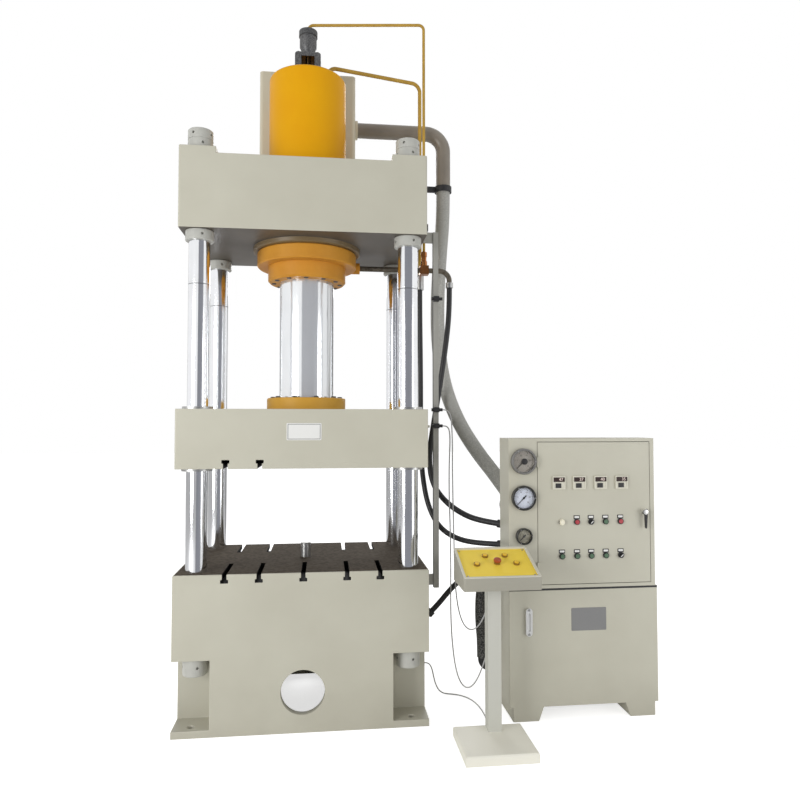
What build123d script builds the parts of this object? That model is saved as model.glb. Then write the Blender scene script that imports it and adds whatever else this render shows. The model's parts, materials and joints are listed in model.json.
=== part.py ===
from build123d import *
import os
from math import cos, radians, sin, tan

# Four-column hydraulic press with its power unit and operator console.
# Millimetres. The origin is on the floor under the ram, +X runs to the operator's right,
# +Y away from the operator and +Z up. The slide stands where work is set: part way down.

os.makedirs("parts", exist_ok=True)

# Clearances
seat_gap = 0.3  # radial, between pieces that nest and stay put
run_gap = 0.1  # radial, between pieces that slide in each other
overrun = 20.0  # how far a cut runs past the face it opens

# Bed
bed_width = 1250.0
bed_depth = 800.0
bed_height = 775.0
slab_thickness = 110.0
bed_wall = 40.0
rib_thickness = 25.0
rib_pitch = 400.0
pocket_width = 178.0
pocket_depth = 150.0
shelf_height = 365.0
foot_thickness = 35.0
window_diameter = 215.0
window_height = 195.0
anchor_diameter = 32.0
anchor_pitch_x = 1080.0
anchor_pitch_y = 704.0
bed_edge = 4.0

# Tee slots, the same in the bed and the slide
slot_neck = 22.0
slot_head = 38.0
slot_head_height = 17.0
slot_depth = 44.0
slot_length = 250.0
slot_inner = 215.0
slot_outer = 380.0
table_slots = (-slot_outer, -slot_inner, 0, slot_inner, slot_outer)
slide_slots = (-slot_outer, -slot_inner)

# Columns and their nuts
column_pitch_x = 1056.0
column_pitch_y = 630.0
column_diameter = 105.0
stud_diameter = 90.0
scribe_height = 2206.0
scribe_width = 4.0
scribe_depth = 1.0
foot_nut_diameter = 120.0
foot_nut_height = 88.0
top_nut_diameter = 125.0
top_nut_height = 100.0
collar_diameter = 140.0
collar_height = 52.0
spanner_hole = 14.0
spanner_depth = 12.0
nut_chamfer = 3.0
nut_seam = 2.0

# Crown
crown_width = 1240.0
crown_depth = 790.0
crown_underside = 2473.0
crown_height = 377.0
pad_size = 180.0
pad_height = 33.0
boss_diameter = 590.0
boss_height = 25.0
crown_edge = 6.0

# Main cylinder, gland and ring nut
bore_diameter = 320.0
barrel_diameter = 426.0
barrel_top = 3430.0
barrel_round = 18.0
head_thickness = 80.0
flange_diameter = 546.0
flange_height = 78.0
flange_chamfer = 6.0
gland_diameter = 428.0
gland_height = 85.0
gland_chamfer = 10.0
spigot_length = 110.0
ring_nut_diameter = 480.0
ring_nut_height = 48.0
ring_nut_slot = 30.0
port_diameter = 64.0
port_reach = 300.0
port_offset = 120.0
port_height = 39.0  # above the flange's underside

# Slide, ram and guides
slide_width = 1245.0
slide_depth = 790.0
slide_underside = 1284.0
slide_height = 295.0
slide_edge = 4.0
bush_diameter = 130.0
bush_length = 120.0
bush_flange_diameter = 152.0
bush_flange_height = 12.0
ram_diameter = 300.0
ram_mark_height = 110.0  # above the slide
piston_height = 150.0
piston_rest = 1111.0  # underside of the piston above the slide
piston_groove = 9.0
piston_groove_depth = 7.0
ram_flange_diameter = 431.0
ram_flange_height = 66.0
ram_flange_chamfer = 5.0
striker_height = 206.0  # above the slide's underside
striker_width = 40.0
striker_thickness = 14.0
striker_gap = 22.0  # between the striker and the stroke bar

# Ejector in the bed
ejector_diameter = 55.0
ejector_rise = 77.0  # of the pin above the table at rest
ejector_chamfer = 3.0
ejector_body = 150.0
ejector_bore = 110.0
ejector_flange = 190.0
ejector_flange_height = 25.0
ejector_length = 320.0
ejector_floor = 25.0
ejector_neck = 40.0
ejector_piston = 50.0
ejector_piston_rest = 87.5  # above the floor of the bore
ejector_port_height = 65.0  # above the cylinder's underside
ejector_port_reach = 95.0
ejector_port_diameter = 44.0

# Prefill valve on the cylinder head
valve_width = 143.0
valve_depth = 118.0
valve_height = 150.0
valve_flange = 172.0
valve_flange_height = 22.0
valve_window_width = 74.0
valve_window_height = 76.0
valve_window_rise = 52.0
valve_round = 16.0
neck_diameter = 62.0
neck_height = 20.0
cone_height = 34.0
dome_diameter = 95.0
dome_height = 60.0
cap_diameter = 104.0
cap_height = 31.0
seat_diameter = 60.0

# Fill tank behind the barrel
fill_width = 573.0
fill_depth = 140.0
fill_height = 771.0
fill_offset = -7.0
fill_front = 250.0
fill_round = 22.0
duct_diameter = 90.0
duct_height = 84.0  # above the cylinder head
outlet_drop = 303.0  # of the fill pipe below the tank's top
outlet_flange = 112.0
outlet_flange_thickness = 16.0

# Rigid pipes
fill_pipe_diameter = 90.0
fill_pipe_reach = 832.0
fill_pipe_bend = 112.0
fill_pipe_end = 2985.0
pilot_diameter = 16.0
pilot_rise = 41.0
pilot_bend = 30.0
pilot_x = 650.0
pilot_y = -76.0
jog_high = 2860.0  # where the pilot line turns back along the crown's side
jog_low = 2740.0
pressure_diameter = 22.0
pressure_start_x = 112.0
pressure_start_y = 72.0
pressure_rise = 140.0
pressure_bend = 50.0
pressure_x = 668.0
pressure_y = 205.0
pressure_end = 2400.0
return_diameter = 30.0
return_bend = 60.0
return_x = 832.0
tee_x = 680.0
tee_size = 52.0
ejector_pipe_diameter = 26.0
ejector_pipe_bend = 32.0

# Hose ends and clamps
adaptor_diameter = 46.0
adaptor_length = 90.0
ferrule_diameter = 44.0
ferrule_length = 30.0
elbow_run = 30.0
ferrule_bend = 36.0
pipe_clamp_height = 40.0
pipe_clamp_base = 2640.0
pipe_clamp_edge = 14.0
hose_clamp_diameter = 106.0
hose_clamp_length = 35.0
hose_clamp_arm = 16.0
return_flange = 128.0
return_flange_thickness = 14.0
return_stub_height = 75.0
gland_nut_diameter = 22.0
elbow_diameter = 52.0
elbow_bend = 40.0
elbow_stub = 12.0

# Stroke bar and its switches
bar_size = 30.0
bar_x = 728.0
bar_low = 585.0
bar_high = 2600.0
bracket_height = 60.0
bracket_thickness = 14.0
bracket_low = 600.0
switch_diameter = 18.0
switch_length = 62.0
switch_block = 28.0
switch_overhang = 13.0
switch_heights = (1493.0, 1584.0, 2214.0)

# Power unit
unit_left = 1035.0
unit_width = 790.0
unit_front = -410.0
tank_depth = 560.0
tank_low = 70.0
tank_height = 585.0
tank_wall = 5.0
tank_foot_inset = 18.0
tank_foot_width = 160.0
tank_foot_taper = 26.0
lid_thickness = 10.0
level_width = 34.0
level_height = 141.0
level_thickness = 14.0
level_x = 99.0
level_rise = 430.0  # of its middle above the tank's underside
level_slot = 14.0
level_slot_length = 92.0
level_slot_depth = 6.0

# Electric box, door and what the door carries
box_width = 780.0
box_depth = 170.0
box_height = 765.0
box_wall = 4.0
door_left = 153.0  # from the box's left side
door_width = 602.0
door_low = 20.0
door_height = 725.0
door_thickness = 22.0
door_wall = 3.0
door_gap = 3.0
hinge_diameter = 12.0
hinge_length = 26.0
hinge_leaf = 20.0
fixed_leaf = 6.0
hinge_leaf_thickness = 4.0
hinge_shares = (0.12, 0.86)
meter_size = 67.0
meter_rim = 7.0
meter_proud = 9.0
meter_recess = 2.0
meter_height_share = 0.713
meter_shares = (0.184, 0.365, 0.555, 0.744)
button_shares = (0.208, 0.341, 0.467, 0.597, 0.731)
upper_row_share = 0.435
lower_row_share = 0.195
bezel_diameter = 30.0
bezel_height = 9.0
cap_bore = 23.0
button_diameter = 22.4
button_height = 8.0
button_lift = 5.0
button_edge = 1.0
mushroom_diameter = 36.0
mushroom_height = 12.0
mushroom_gap = 5.0
lever_length = 27.0
lever_width = 8.0
lever_height = 11.0
lever_turn = 45.0
lamp_height = 6.0
handle_share = 0.945
handle_height_share = 0.5
handle_diameter = 26.0
handle_proud = 16.0
handle_length = 84.0
handle_width = 17.0
handle_thickness = 13.0

# Gauges on the left strip
gauge_x = 76.0
gauge_shares = (0.847, 0.604, 0.350)
gauge_diameters = (132.0, 126.0, 84.0)
gauge_proud = 24.0
gauge_rim_share = 0.075
gauge_recess = 16.0
gauge_body_share = 0.8
gauge_body_depth = 46.0
gauge_edge = 3.0
lens_thickness = 2.5
lens_inset = 3.0
needle_length_share = 0.38
needle_tail_share = 0.14
needle_root = 6.0
needle_tip = 1.6
needle_thickness = 1.4
needle_hub = 11.0
spindle_diameter = 6.0
needle_start = 225.0  # zero of the dial, counted from the right, anticlockwise

# Switchgear on its plate in the electric box
plate_inset = 18.0
plate_thickness = 3.0
duct_width = 40.0
gear_depth = 62.0
gear_rows_share = (0.14, 0.40, 0.66, 0.88)
gear_counts = (18, 6, 8, 2)
gear_height_share = (0.07, 0.13, 0.12, 0.12)
gear_gap = 7.0

# Motor, pump and valve block on the lid
shaft_height = 192.0  # above the lid
shaft_y = -30.0
motor_left = 455.0
motor_length = 310.0
motor_diameter = 250.0
motor_fins = 20
motor_fin_depth = 9.0
motor_fin_width = 8.0
motor_foot_width = 190.0
motor_foot_thickness = 18.0
motor_foot_length = 200.0
cowl_length = 62.0
terminal_size = 92.0
terminal_height = 48.0
bell_length = 90.0
bell_diameter = 208.0
pump_length = 120.0
pump_diameter = 128.0
pump_flange_length = 18.0
block_left = 75.0
block_width = 140.0
block_depth = 240.0
block_height = 345.0
block_front = 15.0  # behind the box
block_edge = 4.0
valve_body = 62.0
valve_body_height = 74.0
solenoid_diameter = 46.0
solenoid_length = 58.0
block_valves = 2

# Operator console on its stand
base_width = 336.0
base_depth = 300.0
base_thickness = 45.0
base_x = 890.0
base_y = -660.0
base_edge = 6.0
post_size = 65.0
post_x = 911.0
post_y = -557.0
console_x = 912.0
console_width = 365.0
console_front = -745.0
console_back = -500.0
console_low = 745.0
console_front_height = 62.0
console_back_height = 155.0
console_rim = 13.0
console_recess = 12.0
console_round = 10.0
panel_thickness = 4.0
console_button_shares = (
    (-0.122, 0.241),
    (0.163, 0.241),
    (0.009, -0.02),
    (-0.285, -0.055),
    (0.281, -0.05),
)

# Cords: diameters and routes, from the end on the press to the end on the power unit
arc_share = 0.45
fill_hose_diameter = 86.0
pressure_hose_diameter = 30.0
return_hose_diameter = 32.0
ejector_hose_diameter = 30.0
suction_hose_diameter = 64.0
cable_diameter = 7.0

fill_hose_route = [
    (832, 320, 2950), (832, 320, 2790), (812, 318, 2560), (792, 302, 2290), (788, 272, 2010),
    (815, 232, 1750), (885, 185, 1535), (985, 132, 1355), (1105, 90, 1195), (1212, 82, 1040),
    (1266, 82, 885), (1266, 82, 740),
]
pressure_hose_route = [
    (668, 205, 2310), (668, 205, 2150), (671, 204, 1900), (671, 196, 1620), (668, 182, 1370),
    (676, 150, 1180), (702, 108, 1020), (757, 42, 908), (840, -45, 860), (940, -120, 848),
    (1040, -168, 850),
]
return_hose_route = [
    (832, 120, 2309), (832, 120, 2170), (812, 121, 1980), (778, 122, 1750), (738, 126, 1510),
    (708, 126, 1320), (720, 100, 1165), (780, 45, 1068), (858, -38, 1006), (945, -116, 972),
    (1040, -168, 962),
]
ejector_hose_route = [
    (705, 0, 455), (750, 0, 500), (796, -2, 556), (848, -22, 616), (908, -68, 668),
    (972, -120, 704), (1040, -160, 724),
]
suction_hose_route = [
    (990, -20, 700), (990, -20, 610), (979, -21, 500), (979, -23, 390), (990, -20, 285),
    (990, -20, 195),
]
low_cable_route = [
    (762, -29, 1493), (780, -29, 1493), (796, -31, 1482), (803, -33, 1455), (804, -35, 1405),
    (801, -36, 1340), (798, -38, 1255), (797, -40, 1155), (798, -42, 1052), (801, -45, 950),
    (802, -48, 848), (803, -52, 746), (802, -57, 645), (800, -63, 545), (799, -71, 446),
    (801, -82, 350), (806, -97, 262), (814, -116, 185), (827, -139, 128), (845, -165, 97),
    (866, -193, 94), (887, -222, 118), (906, -250, 164), (924, -276, 226), (941, -298, 300),
    (955, -314, 382), (965, -324, 466), (971, -328, 545), (974, -329, 608), (975, -330, 646),
    (977, -330, 673), (986, -330, 690), (1002, -330, 700), (1015, -330, 700),
]
high_cable_route = [
    (762, -29, 1584), (781, -29, 1584), (799, -32, 1572), (809, -37, 1545), (812, -43, 1505),
    (814, -49, 1440), (814, -55, 1350), (812, -62, 1252), (812, -69, 1150), (812, -77, 1048),
    (813, -86, 946), (813, -96, 845), (812, -108, 745), (813, -122, 650), (817, -139, 565),
    (825, -160, 495), (838, -185, 445), (856, -212, 418), (877, -237, 414), (899, -257, 430),
    (921, -271, 462), (940, -280, 506), (954, -285, 556), (965, -288, 607), (972, -289, 652),
    (975, -290, 686), (978, -290, 712), (986, -290, 730), (1002, -290, 740), (1015, -290, 740),
]
console_cable_route = [
    (645, -60, 190), (662, -60, 190), (679, -59, 182), (691, -57, 165), (699, -55, 138),
    (706, -52, 104), (716, -48, 68), (731, -43, 36), (752, -38, 14), (780, -36, 5),
    (815, -42, 4), (850, -60, 4), (880, -90, 4), (902, -130, 4), (916, -178, 4),
    (924, -232, 4), (927, -290, 4), (925, -345, 5), (921, -392, 12), (917, -430, 30),
    (914, -458, 55), (912, -477, 78), (911, -491, 88), (911, -505, 88),
]


def save(piece, name):
    """Label a finished piece and write it under its own name."""
    piece.part.label = name
    export_step(piece.part, f"parts/{name}.step")


def facing_front(x, y, z):
    """A plane that looks at the operator: its x is +X, its y is +Z, it faces -Y."""
    return Plane((x, y, z), x_dir=(1, 0, 0), z_dir=(0, -1, 0))


def facing_right(x, y, z):
    """A plane that looks right: its x is +Y, its y is +Z, it faces +X."""
    return Plane((x, y, z), x_dir=(0, 1, 0), z_dir=(1, 0, 0))


def disc(plane, diameter, height):
    """Add a round bar that stands on a plane."""
    with BuildSketch(plane) as section:
        Circle(diameter / 2)
    extrude(section.sketch, amount=height)


def slab(plane, width, depth, height):
    """Add a block that stands on a plane, centred on its origin."""
    with BuildSketch(plane) as section:
        Rectangle(width, depth)
    extrude(section.sketch, amount=height)


def bend_pipe(route, diameter, bend):
    """Add a round pipe that follows a route with equal bends."""
    with BuildLine() as path:
        FilletPolyline(*route, radius=bend)
    line = path.wires()[0]
    with BuildSketch(Plane(line @ 0, z_dir=line % 0)) as section:
        Circle(diameter / 2)
    sweep(section.sketch, path=line)


def cord(name, route, diameter):
    """Write a hose or cable: straight runs joined by arcs as large as the runs allow."""
    points = [Vector(place) for place in route]
    radii = []
    for before, here, after in zip(points, points[1:], points[2:]):
        turn = (here - before).get_angle(after - here)
        shorter = min((here - before).length, (after - here).length)
        radii.append(arc_share * shorter / tan(radians(turn / 2)))
    with BuildPart() as tube:
        with BuildLine() as path:
            FilletPolyline(*points, radius=radii)
        line = path.wires()[0]
        with BuildSketch(Plane(line @ 0, z_dir=line % 0)) as section:
            Circle(diameter / 2)
        sweep(section.sketch, path=line)
    tightest = min(radii) / diameter
    fill = tube.part.volume / (section.sketch.area * line.length)
    print(f"{name}: {line.length:.0f} mm, tightest arc {tightest:.1f} diameters, volume share {fill:.4f}")
    save(tube, name)


def cut_tee_slots(table, up, span, places):
    """Cut tee slots from the front and the back edge of a table that faces up or down."""
    neck_middle = table - up * slot_depth / 2
    head_middle = table - up * (slot_depth - slot_head_height / 2)
    for edge in (-1, 1):
        with BuildSketch(facing_front(0, edge * (span / 2 - slot_length), 0)) as section:
            for slot in places:
                with Locations((slot, neck_middle)):
                    Rectangle(slot_neck, slot_depth)
                with Locations((slot, head_middle)):
                    Rectangle(slot_head, slot_head_height)
        extrude(section.sketch, amount=-edge * (slot_length + overrun), mode=Mode.SUBTRACT)


# Places worked out from the driving sizes
crown_top = crown_underside + crown_height
pad_top = crown_top + pad_height
flange_top = crown_underside - boss_height
flange_underside = flange_top - flange_height
slide_top = slide_underside + slide_height
port_z = flange_underside + port_height

# Bed: a welded box with a thick table, two ribs, corner pockets for the nuts and a round window
core_width = bed_width - 2 * (pocket_width + bed_wall)
side_depth = bed_depth - 2 * (pocket_depth + bed_wall)
ejector_low = bed_height - slab_thickness - ejector_length
ejector_port_z = ejector_low + ejector_port_height

with BuildPart() as bed:
    slab(Plane.XY, bed_width, bed_depth, bed_height)
    chamfer(bed.faces().sort_by(Axis.Z)[-1].edges(), bed_edge)
    with BuildSketch(Plane.XY.offset(foot_thickness)):
        with GridLocations(bed_width - pocket_width, bed_depth - pocket_depth, 2, 2):
            Rectangle(pocket_width + bed_edge, pocket_depth + bed_edge)
    extrude(amount=shelf_height - foot_thickness, mode=Mode.SUBTRACT)
    with BuildSketch():
        Rectangle(core_width, bed_depth - 2 * bed_wall)
        Rectangle(bed_width - 2 * bed_wall, side_depth)
        with GridLocations(rib_pitch, 0, 2, 1):
            Rectangle(rib_thickness, bed_depth, mode=Mode.SUBTRACT)
    extrude(amount=bed_height - slab_thickness, mode=Mode.SUBTRACT)
    with BuildSketch(facing_front(0, 0, window_height)):
        Circle(window_diameter / 2)
    extrude(amount=bed_depth, both=True, mode=Mode.SUBTRACT)
    with BuildSketch(Plane.XY.offset(shelf_height)):
        with GridLocations(column_pitch_x, column_pitch_y, 2, 2):
            Circle(stud_diameter / 2 + seat_gap)
        Circle(ejector_diameter / 2 + run_gap)
    extrude(amount=bed_height - shelf_height, mode=Mode.SUBTRACT)
    with BuildSketch():
        with GridLocations(anchor_pitch_x, anchor_pitch_y, 2, 2):
            Circle(anchor_diameter / 2)
    extrude(amount=foot_thickness, mode=Mode.SUBTRACT)
    with BuildSketch(facing_right(0, 0, ejector_port_z)):
        Circle(ejector_pipe_diameter / 2 + seat_gap)
    extrude(amount=bed_width, mode=Mode.SUBTRACT)
    cut_tee_slots(bed_height, 1, bed_depth, table_slots)
save(bed, "bed")

# Columns: ground bars with smaller studs through the bed and the crown
with BuildPart() as columns:
    with BuildSketch(Plane.XY.offset(shelf_height - foot_nut_height)):
        with GridLocations(column_pitch_x, column_pitch_y, 2, 2):
            Circle(stud_diameter / 2)
    extrude(amount=pad_top + top_nut_height - shelf_height + foot_nut_height)
    with BuildSketch(Plane.XY.offset(bed_height)):
        with GridLocations(column_pitch_x, column_pitch_y, 2, 2):
            Circle(column_diameter / 2)
    extrude(amount=crown_underside - bed_height)
    with BuildSketch(Plane.XY.offset(scribe_height)):
        with GridLocations(column_pitch_x, column_pitch_y, 2, 2):
            Circle(column_diameter / 2)
            Circle(column_diameter / 2 - scribe_depth, mode=Mode.SUBTRACT)
    extrude(amount=scribe_width, mode=Mode.SUBTRACT)
save(columns, "columns")


def round_nut(bore, diameter, height, rows):
    """A round nut with rows of radial spanner holes and a fine seam between the rows."""
    with BuildPart() as nut:
        disc(Plane.XY, diameter, height)
        chamfer(nut.edges().filter_by(GeomType.CIRCLE), nut_chamfer)
        with BuildSketch():
            Circle(bore / 2)
        extrude(amount=height, mode=Mode.SUBTRACT)
        for row in range(rows):
            level = height * (2 * row + 1) / (2 * rows)
            for turn in range(4):
                angle = radians(90 * turn + 45 * row + 20)
                out = Vector(cos(angle), sin(angle), 0)
                start = out * (diameter / 2 - spanner_depth) + Vector(0, 0, level)
                with BuildSketch(Plane(start, z_dir=out)):
                    Circle(spanner_hole / 2)
                extrude(amount=spanner_depth + overrun, mode=Mode.SUBTRACT)
        for row in range(1, rows):
            with BuildSketch(Plane.XY.offset(height * row / rows - nut_seam / 2)):
                Circle(diameter / 2 + overrun)
                Circle(diameter / 2 - nut_seam, mode=Mode.SUBTRACT)
            extrude(amount=nut_seam, mode=Mode.SUBTRACT)
    return nut.part


# Nuts of the frame: under the bed's shelf, under the crown and on top of it
foot_nut = round_nut(stud_diameter + 2 * seat_gap, foot_nut_diameter, foot_nut_height, 1)
collar_nut = round_nut(column_diameter + 2 * seat_gap, collar_diameter, collar_height, 1)
top_nut = round_nut(stud_diameter + 2 * seat_gap, top_nut_diameter, top_nut_height, 2)
corners = [(x * column_pitch_x / 2, y * column_pitch_y / 2) for x in (-1, 1) for y in (-1, 1)]
with BuildPart() as frame_nuts:
    with Locations(*[(x, y, shelf_height - foot_nut_height) for x, y in corners]):
        add(foot_nut)
    with Locations(*[(x, y, crown_underside - collar_height) for x, y in corners]):
        add(collar_nut)
    with Locations(*[(x, y, pad_top) for x, y in corners]):
        add(top_nut)
    with BuildSketch(Plane.XY.offset(crown_top)):
        Circle(ring_nut_diameter / 2)
        Circle(barrel_diameter / 2 + seat_gap, mode=Mode.SUBTRACT)
        with PolarLocations(ring_nut_diameter / 2, 6):
            Rectangle(ring_nut_slot / 2, ring_nut_slot, mode=Mode.SUBTRACT)
    extrude(amount=ring_nut_height)
save(frame_nuts, "frame_nuts")

# Crown: a closed welded box with raised nut pads and a boss round the cylinder
with BuildPart() as crown:
    slab(Plane.XY.offset(crown_underside), crown_width, crown_depth, crown_height)
    with BuildSketch(Plane.XY.offset(crown_top)):
        with GridLocations(crown_width - pad_size, crown_depth - pad_size, 2, 2):
            Rectangle(pad_size, pad_size)
    extrude(amount=pad_height)
    chamfer(crown.edges().filter_by(Axis.Z).group_by(SortBy.LENGTH)[-1], crown_edge)
    disc(Plane.XY.offset(flange_top), boss_diameter, boss_height)
    chamfer(crown.edges().filter_by(GeomType.CIRCLE).sort_by(Axis.Z)[0], crown_edge)
    with BuildSketch(Plane.XY.offset(flange_top)):
        Circle(barrel_diameter / 2 + seat_gap)
        with GridLocations(column_pitch_x, column_pitch_y, 2, 2):
            Circle(stud_diameter / 2 + seat_gap)
    extrude(amount=pad_top - flange_top, mode=Mode.SUBTRACT)
save(crown, "crown")

# Main cylinder: barrel, closed head and the flange that bears on the crown, in one piece
with BuildPart() as main_cylinder:
    with BuildSketch(Plane.XZ):
        with BuildLine():
            Polyline(
                (bore_diameter / 2, flange_underside),
                (flange_diameter / 2, flange_underside),
                (flange_diameter / 2, flange_top),
                (barrel_diameter / 2, flange_top),
                (barrel_diameter / 2, barrel_top),
                (0, barrel_top),
                (0, barrel_top - head_thickness),
                (bore_diameter / 2, barrel_top - head_thickness),
                close=True,
            )
        make_face()
    revolve(axis=Axis.Z)
    fillet(main_cylinder.edges().filter_by(GeomType.CIRCLE).sort_by(Axis.Z)[-1], barrel_round)
    rims = main_cylinder.edges().filter_by(GeomType.CIRCLE)
    chamfer(rims.filter_by(lambda rim: abs(rim.radius - flange_diameter / 2) < seat_gap), flange_chamfer)
    with BuildSketch(facing_right(barrel_diameter / 2, port_offset, port_z)):
        Circle(port_diameter / 2)
    extrude(amount=port_reach - barrel_diameter / 2)
save(main_cylinder, "main_cylinder")

# Gland: the bolted ring that guides the ram at the mouth of the cylinder
gland_low = flange_underside - gland_height
with BuildPart() as gland:
    with BuildSketch(Plane.XZ):
        with BuildLine():
            Polyline(
                (ram_diameter / 2 + run_gap, gland_low),
                (gland_diameter / 2 - gland_chamfer, gland_low),
                (gland_diameter / 2, gland_low + gland_chamfer),
                (gland_diameter / 2, flange_underside),
                (bore_diameter / 2 - seat_gap, flange_underside),
                (bore_diameter / 2 - seat_gap, flange_underside + spigot_length),
                (ram_diameter / 2 + run_gap, flange_underside + spigot_length),
                close=True,
            )
        make_face()
    revolve(axis=Axis.Z)
save(gland, "gland")

# Slide: the moving table, bored for its guides, slotted below, with the striker on its right
with BuildPart() as slide:
    slab(Plane.XY.offset(slide_underside), slide_width, slide_depth, slide_height)
    chamfer(slide.edges().filter_by(Axis.Z), slide_edge)
    with BuildSketch(Plane.XY.offset(slide_underside)):
        with GridLocations(column_pitch_x, column_pitch_y, 2, 2):
            Circle(bush_diameter / 2 + seat_gap)
    extrude(amount=slide_height, mode=Mode.SUBTRACT)
    cut_tee_slots(slide_underside, -1, slide_depth, slide_slots)
    striker_reach = bar_x - bar_size / 2 - striker_gap - slide_width / 2
    with BuildSketch(facing_right(slide_width / 2, 0, slide_underside + striker_height)):
        Rectangle(striker_width, striker_thickness)
    extrude(amount=striker_reach)
save(slide, "slide")

# Guide bushes: flanged sleeves in the top and the bottom of the slide
with BuildPart() as guide_bushes:
    for face, inward in ((slide_top, -1), (slide_underside, 1)):
        with BuildSketch(Plane.XY.offset(face)):
            with GridLocations(column_pitch_x, column_pitch_y, 2, 2):
                Circle(bush_diameter / 2)
        extrude(amount=inward * bush_length)
        with BuildSketch(Plane.XY.offset(face)):
            with GridLocations(column_pitch_x, column_pitch_y, 2, 2):
                Circle(bush_flange_diameter / 2)
        extrude(amount=-inward * bush_flange_height)
    with BuildSketch(Plane.XY.offset(slide_underside - bush_flange_height)):
        with GridLocations(column_pitch_x, column_pitch_y, 2, 2):
            Circle(column_diameter / 2 + run_gap)
    extrude(amount=slide_height + 2 * bush_flange_height, mode=Mode.SUBTRACT)
save(guide_bushes, "guide_bushes")

# Ram: ground rod with its piston in one piece
piston_low = slide_top + piston_rest
with BuildPart() as ram:
    disc(Plane.XY.offset(slide_top), ram_diameter, piston_rest + piston_height)
    disc(Plane.XY.offset(piston_low), bore_diameter - 2 * run_gap, piston_height)
    for share in (1 / 3, 2 / 3):
        with BuildSketch(Plane.XY.offset(piston_low + share * piston_height)):
            Circle(bore_diameter / 2)
            Circle(bore_diameter / 2 - piston_groove_depth, mode=Mode.SUBTRACT)
        extrude(amount=piston_groove, mode=Mode.SUBTRACT)
    with BuildSketch(Plane.XY.offset(slide_top + ram_mark_height)):
        Circle(ram_diameter / 2)
        Circle(ram_diameter / 2 - scribe_depth, mode=Mode.SUBTRACT)
    extrude(amount=scribe_width, mode=Mode.SUBTRACT)
save(ram, "ram")

# Flange that bolts the ram's foot to the slide
with BuildPart() as ram_flange:
    disc(Plane.XY.offset(slide_top), ram_flange_diameter, ram_flange_height)
    chamfer(ram_flange.edges().filter_by(GeomType.CIRCLE).sort_by(Axis.Z)[-1], ram_flange_chamfer)
    with BuildSketch(Plane.XY.offset(slide_top)):
        Circle(ram_diameter / 2 + seat_gap)
    extrude(amount=ram_flange_height, mode=Mode.SUBTRACT)
save(ram_flange, "ram_flange")

# Ejector cylinder, flanged to the table's underside, and its rod
ejector_bore_low = ejector_low + ejector_floor
ejector_bore_high = ejector_low + ejector_length - ejector_neck
with BuildPart() as ejector_cylinder:
    disc(Plane.XY.offset(ejector_low), ejector_body, ejector_length)
    ejector_seat = Plane.XY.offset(ejector_low + ejector_length)
    disc(ejector_seat, ejector_flange, -ejector_flange_height)
    disc(facing_right(0, 0, ejector_port_z), ejector_port_diameter, ejector_port_reach)
    with BuildSketch(Plane.XY.offset(ejector_bore_low)):
        Circle(ejector_bore / 2)
    extrude(amount=ejector_bore_high - ejector_bore_low, mode=Mode.SUBTRACT)
    with BuildSketch(Plane.XY.offset(ejector_bore_high)):
        Circle(ejector_diameter / 2 + run_gap)
    extrude(amount=ejector_neck, mode=Mode.SUBTRACT)
save(ejector_cylinder, "ejector_cylinder")

ejector_top = bed_height + ejector_rise
with BuildPart() as ejector_rod:
    rod_low = ejector_bore_low + ejector_piston_rest
    disc(Plane.XY.offset(rod_low), ejector_diameter, ejector_top - rod_low)
    chamfer(ejector_rod.edges().filter_by(GeomType.CIRCLE).sort_by(Axis.Z)[-1], ejector_chamfer)
    disc(Plane.XY.offset(rod_low), ejector_bore - 2 * run_gap, ejector_piston)
save(ejector_rod, "ejector_rod")

# Prefill valve: flanged body with an open window, a waisted turned neck and a cap
valve_top = barrel_top + valve_height
with BuildPart() as prefill_valve:
    slab(Plane.XY.offset(barrel_top), valve_flange, valve_flange, valve_flange_height)
    slab(Plane.XY.offset(barrel_top), valve_width, valve_depth, valve_height)
    fillet(prefill_valve.faces().sort_by(Axis.Z)[-1].edges().filter_by(Axis.Y), valve_round)
    with BuildSketch(facing_front(0, 0, barrel_top + valve_window_rise + valve_window_height / 2)):
        Rectangle(valve_window_width, valve_window_height)
    extrude(amount=valve_depth, mode=Mode.SUBTRACT)
    disc(Plane.XY.offset(barrel_top + valve_window_rise), seat_diameter / 2, valve_window_height)
    with BuildSketch(Plane.XZ):
        with BuildLine():
            Polyline(
                (0, valve_top),
                (neck_diameter / 2, valve_top),
                (neck_diameter / 2, valve_top + neck_height),
                (dome_diameter / 2, valve_top + neck_height + cone_height),
                (dome_diameter / 2, valve_top + neck_height + cone_height + dome_height),
                (cap_diameter / 2, valve_top + neck_height + cone_height + dome_height),
                (cap_diameter / 2, valve_top + neck_height + cone_height + dome_height + cap_height),
                (0, valve_top + neck_height + cone_height + dome_height + cap_height),
                close=True,
            )
        make_face()
    revolve(axis=Axis.Z)
save(prefill_valve, "prefill_valve")
cap_top = valve_top + neck_height + cone_height + dome_height + cap_height

# Fill tank behind the barrel, with its duct to the valve and the flange of the fill pipe
fill_middle = fill_front + fill_depth / 2
fill_right = fill_offset + fill_width / 2
outlet_z = crown_top + fill_height - outlet_drop
with BuildPart() as fill_tank:
    slab(Plane((fill_offset, fill_middle, crown_top)), fill_width, fill_depth, fill_height)
    fillet(fill_tank.edges().filter_by(Axis.Z), fill_round)
    with BuildSketch(facing_front(0, fill_front, barrel_top + duct_height)):
        Circle(duct_diameter / 2)
    extrude(amount=fill_front - valve_depth / 2)
    with BuildSketch(facing_right(fill_right, fill_middle, outlet_z)):
        Circle(outlet_flange / 2)
    extrude(amount=outlet_flange_thickness)
save(fill_tank, "fill_tank")

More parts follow.
